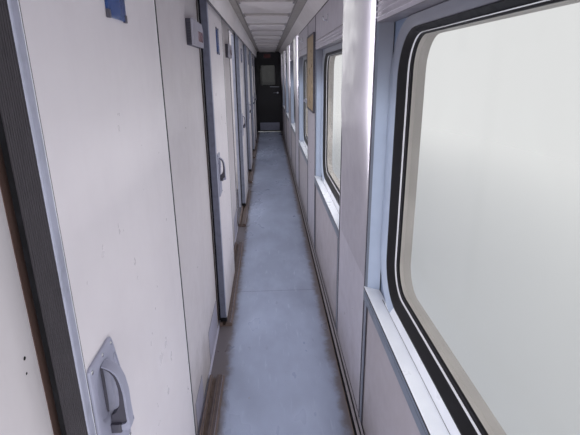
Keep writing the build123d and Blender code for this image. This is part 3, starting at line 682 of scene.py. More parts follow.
def turned(axis, centre, line, sides=20):
    """A turned part: circles along an axis through a centre, each (distance, radius)."""
    across = [place for place, other in zip(centre, "xyz") if other != axis]
    start_at = centre["xyz".index(axis)]
    return loft(axis, *((start_at + at, across + radius * circle(sides)) for at, radius in line))


knobs = [turned("x", (508, windows[DROP_WINDOW] + at, up(1214)), KNOB) for at in (-430, 430)]
piece("drop_window_knobs", knobs, chrome, "chrome")
screws = [turned("x", (431.3, y + at, up(660)), SCREW) for y in windows for at in (-655, 655)]
piece("sill_screws", screws, chrome, "chrome")
print(made[-2:])

# %% [markdown]
# ## Linings of the window side
# Between two windows the wall is lined with a flat panel, and over it sits a moulded cover
# that swells out of the panel from the height of the sill upwards. The cover is glossy, so
# each one streaks the light of the window before it and the one behind. Its swelling is a
# formula: a squared sine up the wall times a superellipse across it, which is flat in front
# and round at its flanks, as a moulding is. Cutting it from a block would leave corners that
# the highlight would show.

# %% Pillar panels and their moulded covers
COVER_AT, COVER_W, COVER_DEPTH, COVER_LOW_H, COVER_RISE, LINING_TOP_H = 14, 612, 32, 735, 715, 1950
PILLAR_W, FLAT_PILLAR = WINDOW_PITCH - REVEAL_W, 2


def inside(low, high):
    """Two places along the corridor, held between its ends."""
    return np.clip((low, high), *ENDS)


def cover(y):
    """A pillar's cover: it stands out from its panel by 32 sin²(½ π t^1.6) up the wall, times
    (1 - |2u - 1|^3.2)^(1 / 3.2) across it, with t and u from 0 to 1."""
    low, high = inside(y + COVER_AT, y + COVER_AT + COVER_W)
    places = low + (high - low) * (1 - np.cos(np.linspace(0, np.pi, 61))) / 2
    u = (places - y - COVER_AT) / COVER_W
    across = np.maximum(0, 1 - np.abs(2 * u - 1) ** 3.2) ** (1 / 3.2)
    t = np.append(np.linspace(0, 1, 49), 1)
    rise = np.sin(np.pi / 2 * t ** 1.6) ** 2
    points = np.empty((len(t), len(u) + 2, 3))
    points[:, 1:-1, 0] = LINING_X - 0.3 - COVER_DEPTH * rise[:, None] * across
    points[:, [0, -1], 0] = LINING_X + 1
    points[..., 1] = [low, *places, high]
    points[..., 2] = up(COVER_LOW_H + COVER_RISE * t)[:, None]
    points[-1, :, 2] = up(LINING_TOP_H)
    return grid(points, caps=True)


linings = [inside(y, y + PILLAR_W) for y in pillars]
panels = [block((LINING_X, 467), lining, (0, LINING_TOP_H)) for lining in linings]
piece("pillar_panels", panels, lining_laminate, "wall_laminate", "pillar_linings", bevel=0.8)
covers = [cover(y) for i, y in enumerate(pillars) if i != FLAT_PILLAR]
piece("pillar_covers", covers, cover_gelcoat, "wall_laminate", "pillar_linings")
print(made[-2:])

# %% [markdown]
# ### Seam strips and corner profiles
# Where two panels meet, a dark aluminium strip covers the joint, with a groove whose edge has
# a painted highlight, a bright strip. At a window, where a panel turns into the reveal, a slim
# plastic profile covers the corner, and below the sill a crease runs beside it, its shade
# painted as a dark strip. All are straight, so an outline carried up the wall is enough; a
# bevelled box wouldn't have the groove.

# %% Seam strips and corner profiles
SEAM = [(435, 0), (432.6, 0), (432, 0.8), (432, 4.6), (433.8, 5.2), (433.8, 6.8), (432, 7.4), (432, 11.2),
        (432.6, 12), (435, 12)]
CORNER = [(434.6, 674), (434.6, 671.8), (443, 666.8), (443, 668.6)]
SEAM_W, SECOND_SEAM = 12, 675
seams = [y + at for y in pillars for at in (0, SECOND_SEAM) if NEAR_END <= y + at <= FAR_END - SEAM_W]
below_sill = (66, 652)
seam_covers = [upright(SEAM, y, (46, LINING_TOP_H)) for y in seams]
piece("seam_covers", seam_covers, seam_metal, "strip_aluminium", "seam_strips", sharp=25)
corners = at_both_sides(CORNER, (713, 1760)) + at_both_sides(rect(434, 435.6, 634, 663), below_sill)
piece("corner_profiles", corners, corner_pvc, "strip_aluminium", sharp=25)
# painted shade: a dark strip stands for the shade in the crease beside each corner profile
piece("corner_creases", at_both_sides(rect(433.6, 435.6, 625, 634), below_sill), dark_abs_and_shade, "strip_aluminium")
# painted highlights: a bright strip along each seam strip's groove edge
painted_glints = boxes(seams, ((431.6, 432.2), (9.2, 11), (48, 1948)))
piece("seam_glints", painted_glints, bright_strip, "strip_aluminium")
print(made[-4:])

# %% [markdown]
# ### Coat hooks and the skirting
# A hook is a chromed prong on an oval plate, bent from round bar, so it is a tube along a
# path. The skirting is a grey plastic profile that covers the cables: a lip, a strip and a
# ridge, each an outline drawn along the whole floor, with black strips of painted shade
# between them.

# %% Coat hooks, skirting
HOOK_H, BEND_R = 1852, 12
COVE = [(375, 0), (375, 0.3), (404, 1.2), (404, 0)]
LIP = [(403.5, 0), (403.5, 2.2), (405, 3.2), (407.5, 3.2), (408, 0)]
STRIP = [(419.5, 0), (419.5, 6), (420.5, 7), (424, 7.4), (424.8, 6.2), (425.6, 7.6), (429.4, 8), (430, 7), (430, 0)]
RIDGE = [(435.2, 24), (433, 25), (432.2, 27), (432.2, 38), (433, 38.8), (432.2, 39.6), (432.2, 57), (433, 60.5),
         (435.2, 61)]


def hook(y, h):
    """An oval plate with a prong that runs out of it and turns up through a quarter circle."""
    a = np.linspace(0, np.pi / 2, 8)
    bend = np.stack([418 - BEND_R * np.sin(a), 0 * a + y, up(h + 2 - BEND_R * np.cos(a))], -1)
    path = [(433, y, up(h - 10)), *bend, (406, y, up(h + 10)), (406.4, y, up(h + 13))]
    oval = rect(y - 11, y + 11, up(h - 26), up(h + 26), 10.9, 6)
    plate = loft("x", (435, oval), (432.4, oval), (431, scaled(oval, (y, up(h)), 0.86)))
    prong = tube(path, [4.6] * (len(path) - 1) + [2.5])
    return [plate, prong, turned("x", (431.2, y, up(h + 16)), SCREW, 12)]


hooks = [part for y in windows - 45 for part in hook(y, HOOK_H)]
piece("hooks", hooks, chrome, "chrome", "coat_hooks")
piece("skirting_lip", [along(LIP)], brown_pvc, "brown_strip", "skirting_rail", sharp=25)
piece("skirting_strips", [along(STRIP), along(RIDGE)], skirting_pvc, "brown_strip", "skirting_rail", sharp=25)
piece("skirting_cove", [along(COVE)], floor_vinyl, "floor_vinyl", "skirting_rail")
# painted shade: black strips in the grooves and joints of the skirting, where shade falls
shaded_gaps = [((407, 420), (0, 0.6)), ((430, 434.6), (0, 24)), ((433.6, 435.2), (61, 66))]
piece("skirting_gaps", [block(x, ENDS, heights) for x, heights in shaded_gaps], seal_rubber, "seal_rubber")
print(made[-5:])

# %% [markdown]
# ### Notice board and fine joints
# The flat pillar carries a framed board, left blank here. Its frame is black, with a light
# line where the glazing bead catches the window. Between linings and headers run thin dark
# joints, which do more for scale than their size suggests.

# %% Notice board and joints
BAR_X, BOARD_HEIGHTS = (418, 435), (1222, 1832)
BARS = [(BAR_X, (0, 12), BOARD_HEIGHTS), (BAR_X, (588, 600), BOARD_HEIGHTS),
        (BAR_X, (12, 588), (1222, 1234)), (BAR_X, (12, 588), (1820, 1832))]
board = pillars[[FLAT_PILLAR]] + 20
piece("board_frame", boxes(board, *BARS), dark_abs_and_shade, "notice_brown", "notice_board", bevel=1.5)
panel = boxes(board, ((422, 435), (11, 589), (1233, 1821)))
piece("board_panel", panel, board_face, "notice_brown", "notice_board")
beads = boxes(board, *(((420.6, 422.2), (at, at + 3), (1234, 1820)) for at in (12, 585)))
piece("board_beads", beads, long_aluminium, "strip_aluminium")
joints = [block((434.2, 435.4), lining, (1947, 1950.5)) for lining in linings]
joints += boxes(windows, ((434.2, 435.4), REVEAL, (1947, 1950.5)), ((434.4, 435.4), REVEAL, (1764, 1766)))
piece("lining_joints", joints, seal_rubber, "seal_rubber")
print(made[-4:])

# %% [markdown]
# ## Sliding doors
# Each leaf is a laminated board with an aluminium profile on its leading edge, whose end face
# is closed by fluted plastic. A black strip on its trailing edge is painted shade for the
# shadow line where the leaf ends, and the black seal behind its leading edge is partly painted
# shade for the gap there. The pull is a zinc casting: a plate with a sunk cup behind a
# bow-shaped grip. The cup needs a hole in the plate, so plate and hole are read at the same
# angles round one centre and joined ring by ring.

# %% Profiles of the doors
PULL_T = 5.5
PULL_PLATE = [(23, 850), (155, 850), (155, 1000), (128, 1100), (23, 1100)]
CUP, CUP_DEPTH = (38, 110, 968, 1082), 4.8
BOW = [(0, 1076), (6, 1074), (15, 1069), (24, 1059), (30, 1040), (33, 1014), (33, 984), (34, 957), (35, 949),
       (30, 944), (17, 943), (0, 942)]
BOW_HOLE = [(1, 1069), (10, 1062), (16, 1053), (19, 1042), (21, 1026), (21, 1005), (19, 992), (11, 976), (3, 972)]


def even(line, count):
    """A line of points read again at even steps of its length."""
    line = np.array(line, float)
    length = np.append(0, np.cumsum(np.linalg.norm(np.diff(line, axis=0), axis=1)))
    steps = np.linspace(0, length[-1], count)
    return np.stack([np.interp(steps, length, column) for column in line.T], -1)


def polar(outline, centre, count=72):
    """A closed outline read at even angles round a centre, its radius interpolated."""
    dense = even(np.vstack([outline, outline[:1]]), 600)[:-1] - centre
    angle, radius = np.arctan2(dense[:, 1], dense[:, 0]), np.linalg.norm(dense, axis=1)
    order = np.argsort(angle)
    read = np.linspace(-np.pi, np.pi, count, endpoint=False)
    length = np.interp(read, angle[order], radius[order], period=2 * np.pi)
    return centre + length[:, None] * np.stack([np.cos(read), np.sin(read)], -1)


def pull_plate(y):
    """The plate of a pull, with its cup: rings from the back round the rim into the hole."""
    centre = np.array((y + (CUP[0] + CUP[1]) / 2, up((CUP[2] + CUP[3]) / 2)))
    outer = polar(fillet(PULL_PLATE, (8, 8, 14, 12, 8), 4) + (y, FLOOR), centre)
    inner = polar(rect(*CUP, 30, 6) + (y, FLOOR), centre)
    face = DOOR_X + PULL_T
    rings = [(face - 1.6, outer, 1), (face - 0.4, outer, 0.985), (face, outer, 0.965), (face + 0.7, inner, 1.03),
             (face, inner, 0.97), (face - CUP_DEPTH + 1, inner, 0.90), (face - CUP_DEPTH, inner, 0.7)]
    return loft("x", (DOOR_X, outer), *((x, scaled(ring, centre, share)) for x, ring, share in rings))


def bow(y, low, high, width):
    """Part of the grip between its hole, 0, and its outside, 1, carried across the pull."""
    outside, hole = even(BOW, 30), even(BOW_HOLE, 30)
    near, far = (hole + part * (outside - hole) for part in (low, high))
    outline = np.vstack([far, near[::-1]]) + (DOOR_X + PULL_T - 1, 0)
    return along(outline, (y + 78 - width / 2, y + 78 + width / 2))


print("pull plate of", len(pull_plate(0)[1]), "faces")

# %% [markdown]
# ### Fit the doors
# The same fittings go on all six doors, each riding on its own body, so that they slide with
# the leaf. The nearest door's flutes are painted darker than the rest, for the shade they lie
# in. The plaque is left blank.

# %% Fittings of the sliding doors
LEAF = (36, 1955)  # the foot and the top of a leaf
FLUTES = [(-276.4, 1), (-276.4, 0), *zip(np.linspace(-275.4, -243.5, 22), (-0.2, -1.3) * 11), (-243, 0), (-243, 1)]
# painted highlights: bright lines along both edges of each leaf's face
EDGE_LINES = [((DOOR_X - 1, DOOR_X + 0.5), (at, at + 1), LEAF) for at in (19.4, 749.4)]
# painted shade: the black strip at the trailing edge stands for the shadow line there; the one behind the leading
# edge is a seal, dark also for the gap's shadow
BLACKS = [((-286.5, -275), (3, 14), (44, 1945)), ((-274, DOOR_X + 0.7), (752, 766), LEAF),
          ((DOOR_X - 1, DOOR_X + 0.3), (21.2, 22.8), LEAF), ((-277, DOOR_X + 1.5), (-2, 24), (LEAF[0], 64))]
FOOT_OF_PULL = ((DOOR_X + PULL_T - 1, DOOR_X + 24), (64, 92), (938, 956))
CLIPS = [((DOOR_X, DOOR_X + 6), (at, at + 15), (h, h + 15)) for at in (340, 444) for h in (1650, 1787)]
SCREWS = ((32, 1091), (79, 1091), (121, 1088), (146, 1006), (32, 859), (146, 859))
SUNK = [(-depth, radius) for depth, radius in SCREW]
TRIANGLE = [(119, 1012), (146, 1012), (124, 1084)]
PLAQUE = (342, 457, 1652, 1800)
for i, y in enumerate(leads):
    door = f"door_{i + 1}"
    own = {"body": door}
    instead = {"body": door, "replaces": f"{door}_fittings"}
    edge = upright(rect(-276, DOOR_X, 0, 22, (1, 3, 0.8, 1)), y, LEAF)
    piece(f"{door}_edge", [edge], upright_aluminium, "strip_aluminium", **instead)
    piece(f"{door}_edge_lines", boxes([y], *EDGE_LINES), bright_strip, "strip_aluminium", **own)
    # painted shade: the nearest door's flutes take a darker finish for the shade they lie in
    flute_finish = smoke_aluminium if i else near_flutes_shaded
    piece(f"{door}_flutes", [upright(FLUTES, y, LEAF)], flute_finish, "strip_aluminium", sharp=25, **own)
    piece(f"{door}_rubbers", boxes([y], *BLACKS), seal_rubber, "seal_rubber", bevel=0.4, **own)
    ridge = polar(fillet(TRIANGLE, 5) + (y, FLOOR), (y + 132.3, up(1037)), 40)
    ridge = np.column_stack([np.full(len(ridge), DOOR_X + PULL_T + 0.4), ridge])
    triangle = tube([*ridge, *ridge[:2]], 1.5, 8)
    casting = [pull_plate(y), triangle, bow(y, 0.72, 1.05, 23)]
    piece(f"{door}_pull", casting, cast_paint, "strip_aluminium", bevel=0.5, **instead)
    rib = tube([(DOOR_X + 1.8, y + 74, up(h)) for h in (978, 1000, 1050, 1072)], (2, 3, 3, 2))
    core = [bow(y, 0, 0.74, 15), *boxes([y], FOOT_OF_PULL, radius=3), rib]
    piece(f"{door}_pull_core", core, dark_abs_and_shade, "strip_aluminium", bevel=0.8, **instead)
    screws = [turned("x", (DOOR_X + PULL_T - 0.3, y + at, up(h)), SUNK, 12) for at, h in SCREWS]
    piece(f"{door}_screws", screws, chrome, "chrome", **own)
    face = rect(*PLAQUE, 9, 4) + (y, FLOOR)
    rim = scaled(face, (y + sum(PLAQUE[:2]) / 2, up(sum(PLAQUE[2:]) / 2)), 0.97)
    plaque = loft("x", (DOOR_X, face), (DOOR_X + 4, face), (DOOR_X + 5, rim))
    piece(f"{door}_plaque", [plaque], plaque_enamel, "strip_aluminium", **instead)
    piece(f"{door}_clips", boxes([y], *CLIPS, radius=2), dark_abs_and_shade, "strip_aluminium", bevel=0.6, **own)
print(made[-9:])

# %% [markdown]
# ## Partition
# Before each door hangs a number box, dark and ribbed at its sides, with a pale front and a
# blank display. Low down, plates cover the heating valves, and a quarter-round trim closes
# the joint with the floor. The doors' feet run in a plastic rail whose grooves are one
# outline drawn along the floor.

# %% Number boxes
BOX = [(-380, 1666), (-44, 1666), (-44, 1750), (-70, 1776), (-380, 1776)]
front_outline = fillet(BOX, (4, 4, 12, 14, 4), 4) + (0, FLOOR)
core_outline = fillet(BOX, (2, 2, 12, 14, 2), 4) * (0.985, 1) + (-3, FLOOR)
fronts, cores = [], boxes(doorways, *(((-292, -274), (-382, -376), (h, h + 5)) for h in range(1674, 1768, 11)))
for y in doorways:
    front, core = front_outline + (y, 0), core_outline + (y, 0)
    rim = front_outline * (0.995, 1) + (y - 1, 0)
    fronts.append(loft("x", (-272, front), (-265.2, front), (-264, rim)))
    cores.append(loft("x", (PANEL_X, core), (-271, core)))
piece("number_box_fronts", fronts, box_paint, "box_grey", "number_boxes")
piece("number_box_cores", cores, dark_abs_and_shade, "box_grey", "number_boxes", bevel=0.6)
displays = boxes(doorways, ((-265, -263.4), (-216, -68), (1690, 1736)))
piece("number_box_displays", displays, display_face, "box_grey", bevel=0.5)
print(made[-3:])

# %% [markdown]
# ### Low on the partition
# The plates that cover the valves are punched sheet with a toothed far edge. Teeth cut by a
# boolean would leave slivers, so each outline is a zigzag. A brown strip beside the slot that
# each door slides into is a painted reflection.

# %% Access plates, doorway reflection strips, trims and joints
PLATES = ((-400, -45, 6, 205), (-885, -685, 8, 150))  # from, to, low and high edge, before each doorway
TEETH, TOOTH = 32, 5
plates, rims = [], []
for y in doorways:
    for start_y, end_y, low, high in PLATES:
        if y + start_y > NEAR_END:
            teeth = [(end_y - TOOTH * (k % 2), low + (high - low) * k / TEETH) for k in range(TEETH + 1)]
            outline = np.array([(start_y, low), *teeth, (start_y, high)]) + (y, FLOOR)
            plates.append(loft("x", (PANEL_X, outline), (PANEL_X + 1.6, outline)))
            rims += boxes([y], ((PANEL_X - 0.2, PANEL_X + 0.6), (start_y - 4, end_y + 3), (low - 3, high + 4)))
piece("access_plates", plates, plate_paint, "wall_laminate", bevel=0.4)
piece("access_plate_rims", rims, dark_abs_and_shade, "seal_rubber")
# painted reflection: a brown strip on the panel beside each door slot
reflection_strips = boxes(doorways, ((PANEL_X - 0.5, PANEL_X + 1.2), (-3, 30), (30, 1925)))
piece("doorway_brushes", reflection_strips, reflection_strip_paint, "seal_rubber")
TRIM = [(-295, 0), (-286, 0), (-286.6, 4), (-289, 9.5), (-291.5, 12), (-295, 13)]
panel_runs = list(zip([NEAR_END, *(doorways + 740)], [*(doorways + 70), FAR_END]))
piece("base_trims", [along(TRIM, run) for run in panel_runs], plate_paint, "strip_aluminium")
joint_x = (PANEL_X, PANEL_X + 0.5)
joints = [block(joint_x, run, (13, 15)) for run in panel_runs]
joints += [block(joint_x, (end - 1.2, end + 0.2), (15, 1925)) for _, end in panel_runs[:-1]]
joints += [turned("x", (PANEL_X + 0.2, NEAR_END + at, up(h)), [(0, r), (0.3, r - 0.4)], 12)
           for at, h, r in ((1938, 669, 3), (1925, 1324, 3.5), (523, 1166, 3), (520, 1143, 2.2))]
piece("partition_joints", joints, seal_rubber, "seal_rubber")
print(made[-5:])

# %% The doors' floor guides
RAIL = [(-285, 0), (-285, 26), (-283, 28), (-270, 28), (-268, 26), (-268, 6), (-248, 6), (-248, 26), (-246, 28),
        (-240, 28), (-239, 26.5), (-236, 26.5), (-235, 28), (-229, 28), (-228, 26.5), (-225, 26.5), (-224, 28),
        (-216, 28), (-211, 25), (-208, 18), (-208, 0)]
RAIL_LINES = (-282, -271.5, -244, -237.5, -226.5, -221)
runs = [(y, y + DOOR_W + DOOR_TRAVEL) for y in doorways]
piece("door_guides", [along(RAIL, run) for run in runs], brown_pvc, "brown_strip", "guide_rails", sharp=25)
guide_edges = [block((-217.5, -214), run, (27.4, 28.6)) for run in runs]
piece("guide_edges", guide_edges, long_aluminium, "strip_aluminium", bevel=0.5)
lines = [block((x - 1.1, x + 1.1), run, (27, 28.3)) for run in runs for x in RAIL_LINES]
piece("guide_lines", lines, dark_abs_and_shade, "brown_strip")
print(made[-3:])

# %% [markdown]
# ## Ceiling
# The ceiling is a row of laminated panels with rounded ends, a darker recess between each two
# and chrome clips that hold them. Long joints run along both sides. Rounding the panels' ends
# needs radii only at the recesses, since the first and the last panel are cut off.

# %% Ceiling panels, recesses, clips and joints
RECESS_PITCH, RECESS_L, FIRST_RECESS, RECESS_COUNT = 820, 180, 810, 14
CEILING_H, PANEL_LOW_H, CORNER_R = 2030, 2012, 38
recesses = NEAR_END + FIRST_RECESS + RECESS_PITCH * np.arange(RECESS_COUNT)
slabs = []
for k, (low, high) in enumerate(zip([NEAR_END, *(recesses + RECESS_L)], [*recesses, FAR_END])):
    cut = (k == 0, k == 0, k == RECESS_COUNT, k == RECESS_COUNT)
    outline = rect(-134, 268, low, high, np.where(cut, 0, CORNER_R), 6)
    inner = scaled(outline, (67, (low + high) / 2), (0.99, 0.994))
    slabs.append(loft("z", (up(CEILING_H), outline), (up(PANEL_LOW_H + 2), outline), (up(PANEL_LOW_H), inner)))
piece("ceiling_slabs", slabs, ceiling_laminate, "ceiling_laminate", "ceiling_panels")
inserts = boxes(recesses, ((-120, 255), (-30, RECESS_L + 30), (2027, 2030.5)), radius=12)
piece("recess_inserts", inserts, recess_laminate, "ceiling_laminate", bevel=0.8)
clips = [((x - 7, x + 7), (at, at + 26), (2006, 2013)) for x in (-125, 258) for at in (-34, 188)]
piece("ceiling_clips", boxes(recesses, *clips, radius=4), chrome, "chrome", bevel=1.2)
grooves = [block((x - 1.6, x + 1.6), ENDS, (2029, 2030.6)) for x in (-151, 285, 356)]
grooves.append(block((432.5, 435), ENDS, (1950.5, 1954)))
piece("ceiling_joints", grooves, seal_rubber, "seal_rubber")
# painted shadow: a dark strip under the pelmet stands for the shadow gap above the doors
piece("pelmet_brush", [block((-227, -222.5), ENDS, (1876, 1889))], dark_abs_and_shade, "seal_rubber")
print(made[-5:])

# %% [markdown]
# ## End of the corridor
# The end wall is dark, with a swing door, a blank sign over it and a push rail. The pane sits
# in a rubber gasket, and a metal plate guards the foot of the door. The gasket is the same
# kind of ring as the window's, but in x and z.

# %% Sign, gasket, kick plate and handle
sign = rect(-32, 152, up(1874), up(1972), 8, 4)
sign_inner = rect(-27, 147, up(1879), up(1967), 6, 4)
case = loft("y", (FAR_END, sign), (FAR_END - 16, sign), (FAR_END - 18, sign_inner))
piece("sign_case", [case], dark_abs_and_shade, "sign_red", "exit_sign")
plate = loft("y", (FAR_END - 17, sign_inner), (FAR_END - 20, sign_inner))
piece("sign_face", [plate], sign_face, "sign_red", "exit_sign")
END_FACE = FAR_END + 10
pane_out, pane_in = rect(-162, 282, up(1188), up(1712), 70, 8), rect(-146, 266, up(1204), up(1696), 58, 8)
pane_ridge = pane_out * (0.99, 0.9975) + (0.6, 3.9)
gasket = loft("y", (END_FACE + 2, pane_out), (END_FACE - 2.5, pane_out), (END_FACE - 4, pane_ridge),
              (END_FACE - 3, pane_in), (END_FACE + 8, pane_in), ring=True)
piece("end_door_gasket", [gasket], seal_rubber, "seal_rubber", body="end_door")
kick = rect(-170, 350, up(40), up(240), 6)
kick_plate = loft("y", (END_FACE + 0.2, kick), (END_FACE - 1.4, kick))
piece("end_door_plate", [kick_plate], long_aluminium, "bare_aluminium", body="end_door", bevel=0.5)
rose = [(0, 24), (-5, 24), (-7, 21), (-7.2, 10), (-30, 9), (-32, 7)]
lever = [(318, -24, 1010), (290, -27, 1010), (220, -27, 1008), (200, -24, 1007)]
handle = [turned("y", (318, END_FACE, up(1010)), rose), tube(np.array(lever) + (0, END_FACE, FLOOR), (9, 8, 7, 6))]
piece("end_door_handle", handle, chrome, "chrome", body="end_door")
print(made[-5:])

# %% [markdown]
# ## Dirt and small things on the floor
# Grit gathers where the broom misses, along the skirting and the door rails. Each grain is a
# six-sided lump, placed at random but with a fixed seed, so the picture is the same each
# time. Across the floor run three welded seams of the vinyl.

# %% Grit, seams and the floors next door
GRIT_EDGE = 373  # no grain lies farther under the window side
rng = np.random.default_rng(8870)


def grain(x, y, size):
    """A lump of grit: three uneven six-sided rings, one over another."""
    rings = [(x, y) + size * k * circle(6) * rng.uniform(0.7, 1.3, (6, 1)) for k in (0.8, 1.0, 0.5)]
    return loft("z", *zip((FLOOR - 0.1, FLOOR + 0.35 * size, FLOOR + 0.75 * size), rings))


places = [(rng.normal(366, 7), rng.uniform(*ENDS), rng.uniform(0.8, 2.6)) for _ in range(150)]
places += [(rng.normal(-198, 6), rng.uniform(*ENDS), rng.uniform(0.8, 2.4)) for _ in range(110)]
places += [(rng.uniform(-170, 340), rng.uniform(*ENDS), rng.uniform(0.6, 1.3)) for _ in range(70)]
places += [(-190, NEAR_END + 2070, 4), (-73, NEAR_END + 1824, 3.5)]
piece("grit", [grain(min(x, GRIT_EDGE), y, size) for x, y, size in places], crumb_paint, "floor_vinyl")
welds = boxes(NEAR_END + np.array((2970, 5700, 9200)), ((-204, 374), (0, 3), (-0.1, 0.15)))
piece("vinyl_welds", welds, dark_abs_and_shade, "floor_vinyl")
next_door = block((-559, -286), (NEAR_END + 1, FAR_END), (-4, -0.5))
piece("compartment_floor", [next_door], dark_abs_and_shade, "floor_vinyl")
piece("threshold", [block((-246, 382), (FAR_END + 0.5, FAR_END + 59), (-3.5, 0))], end_paint, "floor_vinyl")
print(made[-4:])

# %% [markdown]
# ## Outside and cut end
# Outside, the skin is lapped at each pillar and the roof sheets are welded in bands. Where
# the section is cut, the wall shows wool between its skin and its lining, and foil-faced
# blankets fill the roof between the ribs. These are seen only from outside, so they are kept
# to what a sheet-metal worker would notice: the laps, the bands and the layers.

# %% Laps, roof bands, blankets and wool
EAVES, CROWN, ROOF_END_X = (-68, 2250, 620), (-950.4, -174.4, 3200), -560  # x, z and radius of the roof's arcs


def roof_line(inset, count=40):
    """The roof's curve: an arc of 620 mm at the eaves from 0 to 70 degrees, then one of
    3200 mm up to the cut over the compartments, both smaller by the inset."""
    a = np.radians(np.linspace(0, 70, count))
    eaves = EAVES[:2] + (EAVES[2] - inset) * np.stack([np.cos(a), np.sin(a)], -1)
    x = np.linspace(eaves[-1, 0], ROOF_END_X, count // 2)[1:]
    crown = CROWN[1] + np.sqrt((CROWN[2] - inset) ** 2 - (x - CROWN[0]) ** 2)
    return np.vstack([eaves, np.stack([x, crown], -1)])


def roof_strip(low_inset, high_inset, *ends):
    """A strip of the roof between two insets from its skin."""
    outline = np.vstack([roof_line(low_inset), roof_line(high_inset)[::-1]])
    return loft("y", *((end, outline) for end in ends))


cross_walls = NEAR_END + FIRST_DOOR - 345 + DOOR_PITCH * np.arange(DOOR_COUNT + 1)
ribs = np.array([NEAR_END + 25, *cross_walls, -NEAR_END - 25])
laps = boxes(pillars[1:-1], ((SKIN_X, SKIN_X + 1.4), (320, 362), (-45, 2045)))
piece("skin_laps", laps, coach_paint, "coach_paint", bevel=0.5)
bands = [roof_strip(-1.5, 0.3, y - 14, y + 14) for y in ribs[1:-1]]
piece("roof_bands", bands, roof_paint, "roof_paint", sharp=25)
blankets = [roof_strip(7, 36, low + 30, high - 30) for low, high in zip(ribs[:-1], ribs[1:])]
piece("roof_blankets", blankets, insulation_foil, "galvanised", sharp=25)
wool = block((474, 548.5), (NEAR_END - 0.4, NEAR_END + 0.2), (-40, 2040))
piece("wall_wool", [wool], wool_paint, "plywood")
print(made[-4:])

# %% [markdown]
# ## Light
# A corridor gets its light sideways, through its windows. In the studio, the pale world does
# that from all round, and soft lamps in each window send it across and both ways along, as
# an open sky would. A faint fill stands for light that the pale doors throw back. A few lamps
# reach only the pillar covers or only the sills, whose bright edges a fill can't give without
# washing out all that is near. One strong lamp overhead would light the corridor too, but it
# would flatten the linings.

# %% World
WORLD_LIT, WORLD_SHOWN, BACKDROP = 0.9, 1.0, "#F7F8F8"
world = bpy.data.worlds.new("studio")
bpy.context.scene.world = world
world.use_nodes = True
sky = world.node_tree
sky.nodes.clear()
camera_ray, glossy_ray, through_ray = (add(sky, "LightPath", out=f"Is {kind} Ray")
                                       for kind in ("Camera", "Glossy", "Transmission"))
plain = add(sky, "Math", {0: camera_ray, 1: glossy_ray}, operation="MAXIMUM")
plain = add(sky, "Math", {0: plain, 1: through_ray}, operation="MAXIMUM")
lit = add(sky, "Background", {"Color": linear("#F4F5F7"), "Strength": WORLD_LIT})
shown = add(sky, "Background", {"Color": linear(BACKDROP), "Strength": WORLD_SHOWN})
both = add(sky, "MixShader", {"Fac": plain, 1: lit, 2: shown})
add(sky, "OutputWorld", {"Surface": both}, None)
print("the world lights with", WORLD_LIT, "and shows as", WORLD_SHOWN)

# %% Lamps
POWER = {"window": 0.75, "slant": 1.8, "lining": 3.0, "partition": 3.5, "ceiling": 1.75, "floor": 2.2,
         "flank": 22.0, "ahead": 0.4, "sill": 0.45}  # watts at a lamp of full strength
FADE = (1, 1.15, 0.75, 0.55, 0.4, 0.25)  # from window to window
FIRST_WINDOW_POWER = {"window": 0.15, "slant": 0.95}  # weaker beside the camera
AHEAD = ((1850, 1.0), (1600, 0.6), (1350, 0.25), (1100, 0.08))  # heights and shares of a cover's front light


def lit_alone(name, *pieces):
    """A collection of the only pieces that some lamps light."""
    group = bpy.data.collections.new(name)
    for lit_piece in pieces:
        group.objects.link(bpy.data.objects[lit_piece])
    return group


def lamp(name, place, size, power, turn=(0, 0, 0), glossy=False, only=None):
    """A soft rectangular lamp that the camera doesn't see: its middle as x, y and height, its
    turn in degrees. It is kept to one collection, if given."""
    light = bpy.data.lights.new(name, "AREA")
    light.shape, light.energy = "RECTANGLE", power
    light.size, light.size_y = size[0] * MM, size[1] * MM
    new = bpy.data.objects.new(name, light)
    new.location = (place[0] * MM, place[1] * MM, up(place[2]) * MM)
    new.rotation_euler = [radians(angle) for angle in turn]
    new.visible_camera, new.visible_glossy = False, glossy
    if only:
        new.light_linking.receiver_collection = only
    bpy.context.scene.collection.objects.link(new)


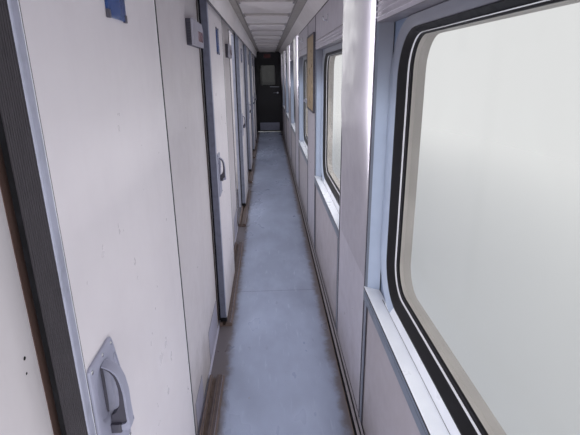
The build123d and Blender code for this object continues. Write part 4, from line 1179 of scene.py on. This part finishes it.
covers_only = lit_alone("lit_by_the_cover_lamps", "pillar_covers")
sills_only = lit_alone("lit_by_the_sill_lamps", "sill_boards", "plate_feet", "frame_plates")
for i, (y, fade) in enumerate(zip(windows, FADE)):
    power = {name: watts * fade for name, watts in POWER.items()}
    if i == 0:
        power.update(FIRST_WINDOW_POWER)
    pillar = y + WINDOW_PITCH / 2
    lamp(f"window_light_{i}", (545, y, 1340), (360, 900), power["window"], (0, 35, 0))
    for side in SIDES:
        lamp(f"slant_light_{i}_{side}", (600, y + 300 * side, 1300), (500, 160), power["slant"], (0, 50, 62 * side))
    lamp(f"lining_light_{i}", (-190, y, 550), (1000, 1900), power["lining"], (0, -90, 0))
    lamp(f"flank_light_{i}", (395, y + 100, 1720), (50, 550), power["flank"], (90, 0, 0), only=covers_only)
    for height, share in AHEAD:
        lamp(f"ahead_light_{i}_{height}", (260, pillar + 770, height), (100, 260), share * power["ahead"],
             (-90, 0, 0), True, covers_only)
    lamp(f"sill_light_{i}", (200, y, 900), (120, 1300), power["sill"], (0, -60, 0), only=sills_only)
    lamp(f"partition_light_{i}", (390, pillar, 560), (900, 1900), power["partition"], (0, 90, 0))
    lamp(f"ceiling_light_{i}", (70, y, 1300), (400, 1900), power["ceiling"], (180, 0, 0))
    lamp(f"floor_light_{i}", (180, y, 1500), (300, 1900), power["floor"])
lamp("near_partition_light", (390, NEAR_END - 100, 460), (700, 1900), 1.5 * POWER["partition"], (0, 90, 0))
lamp("end_light", (70, -7400, 900), (800, 1200), 13.0, (90, 0, 0))
lamp("studio_light", (-3500, -7000, 6300), (5000, 5000), 260, (38, 0, -28), True)
print("lamps:", len(bpy.data.lights))

# %% [markdown]
# ### Studio floor
# The floor under the coach fades into the world with distance, so that no horizon shows
# through the windows. A curved backdrop would do that as well, but it would need a second
# object and its own light.

# %% Studio floor
HALF = 60  # metres
floor_mesh = bpy.data.meshes.new("studio_floor")
floor_corners = [(-HALF, -HALF, 0), (HALF, -HALF, 0), (HALF, HALF, 0), (-HALF, HALF, 0)]
floor_mesh.from_pydata(floor_corners, [], [(0, 1, 2, 3)])
studio_floor = bpy.data.objects.new("studio_floor", floor_mesh)
studio_paint, ground_shader, here = start("studio_floor_paint", "#E4E5E6", 0.7)
ground = ground_shader.id_data
squeezed = add(ground, "Mapping", {"Vector": here, "Scale": (1, 0.4, 1)})  # the coach is long in y
distance = add(ground, "VectorMath", {0: squeezed}, "Value", operation="LENGTH")
far = add(ground, "MapRange", {"Value": distance, "From Min": 1.2, "From Max": 6.0}, **SOFT)
from_camera = add(ground, "LightPath", out="Is Camera Ray")
faded = add(ground, "Math", {0: far, 1: from_camera}, operation="MULTIPLY")
glow = add(ground, "Emission", {"Color": linear(BACKDROP), "Strength": WORLD_SHOWN})
mixed = add(ground, "MixShader", {"Fac": faded, 1: ground_shader.outputs[0], 2: glow})
ground.links.new(mixed, ground.nodes["Material Output"].inputs["Surface"])
floor_mesh.materials.append(studio_paint)
bpy.context.scene.collection.objects.link(studio_floor)
print("pieces:", len(made), "faces:", sum(count for _, count in made))
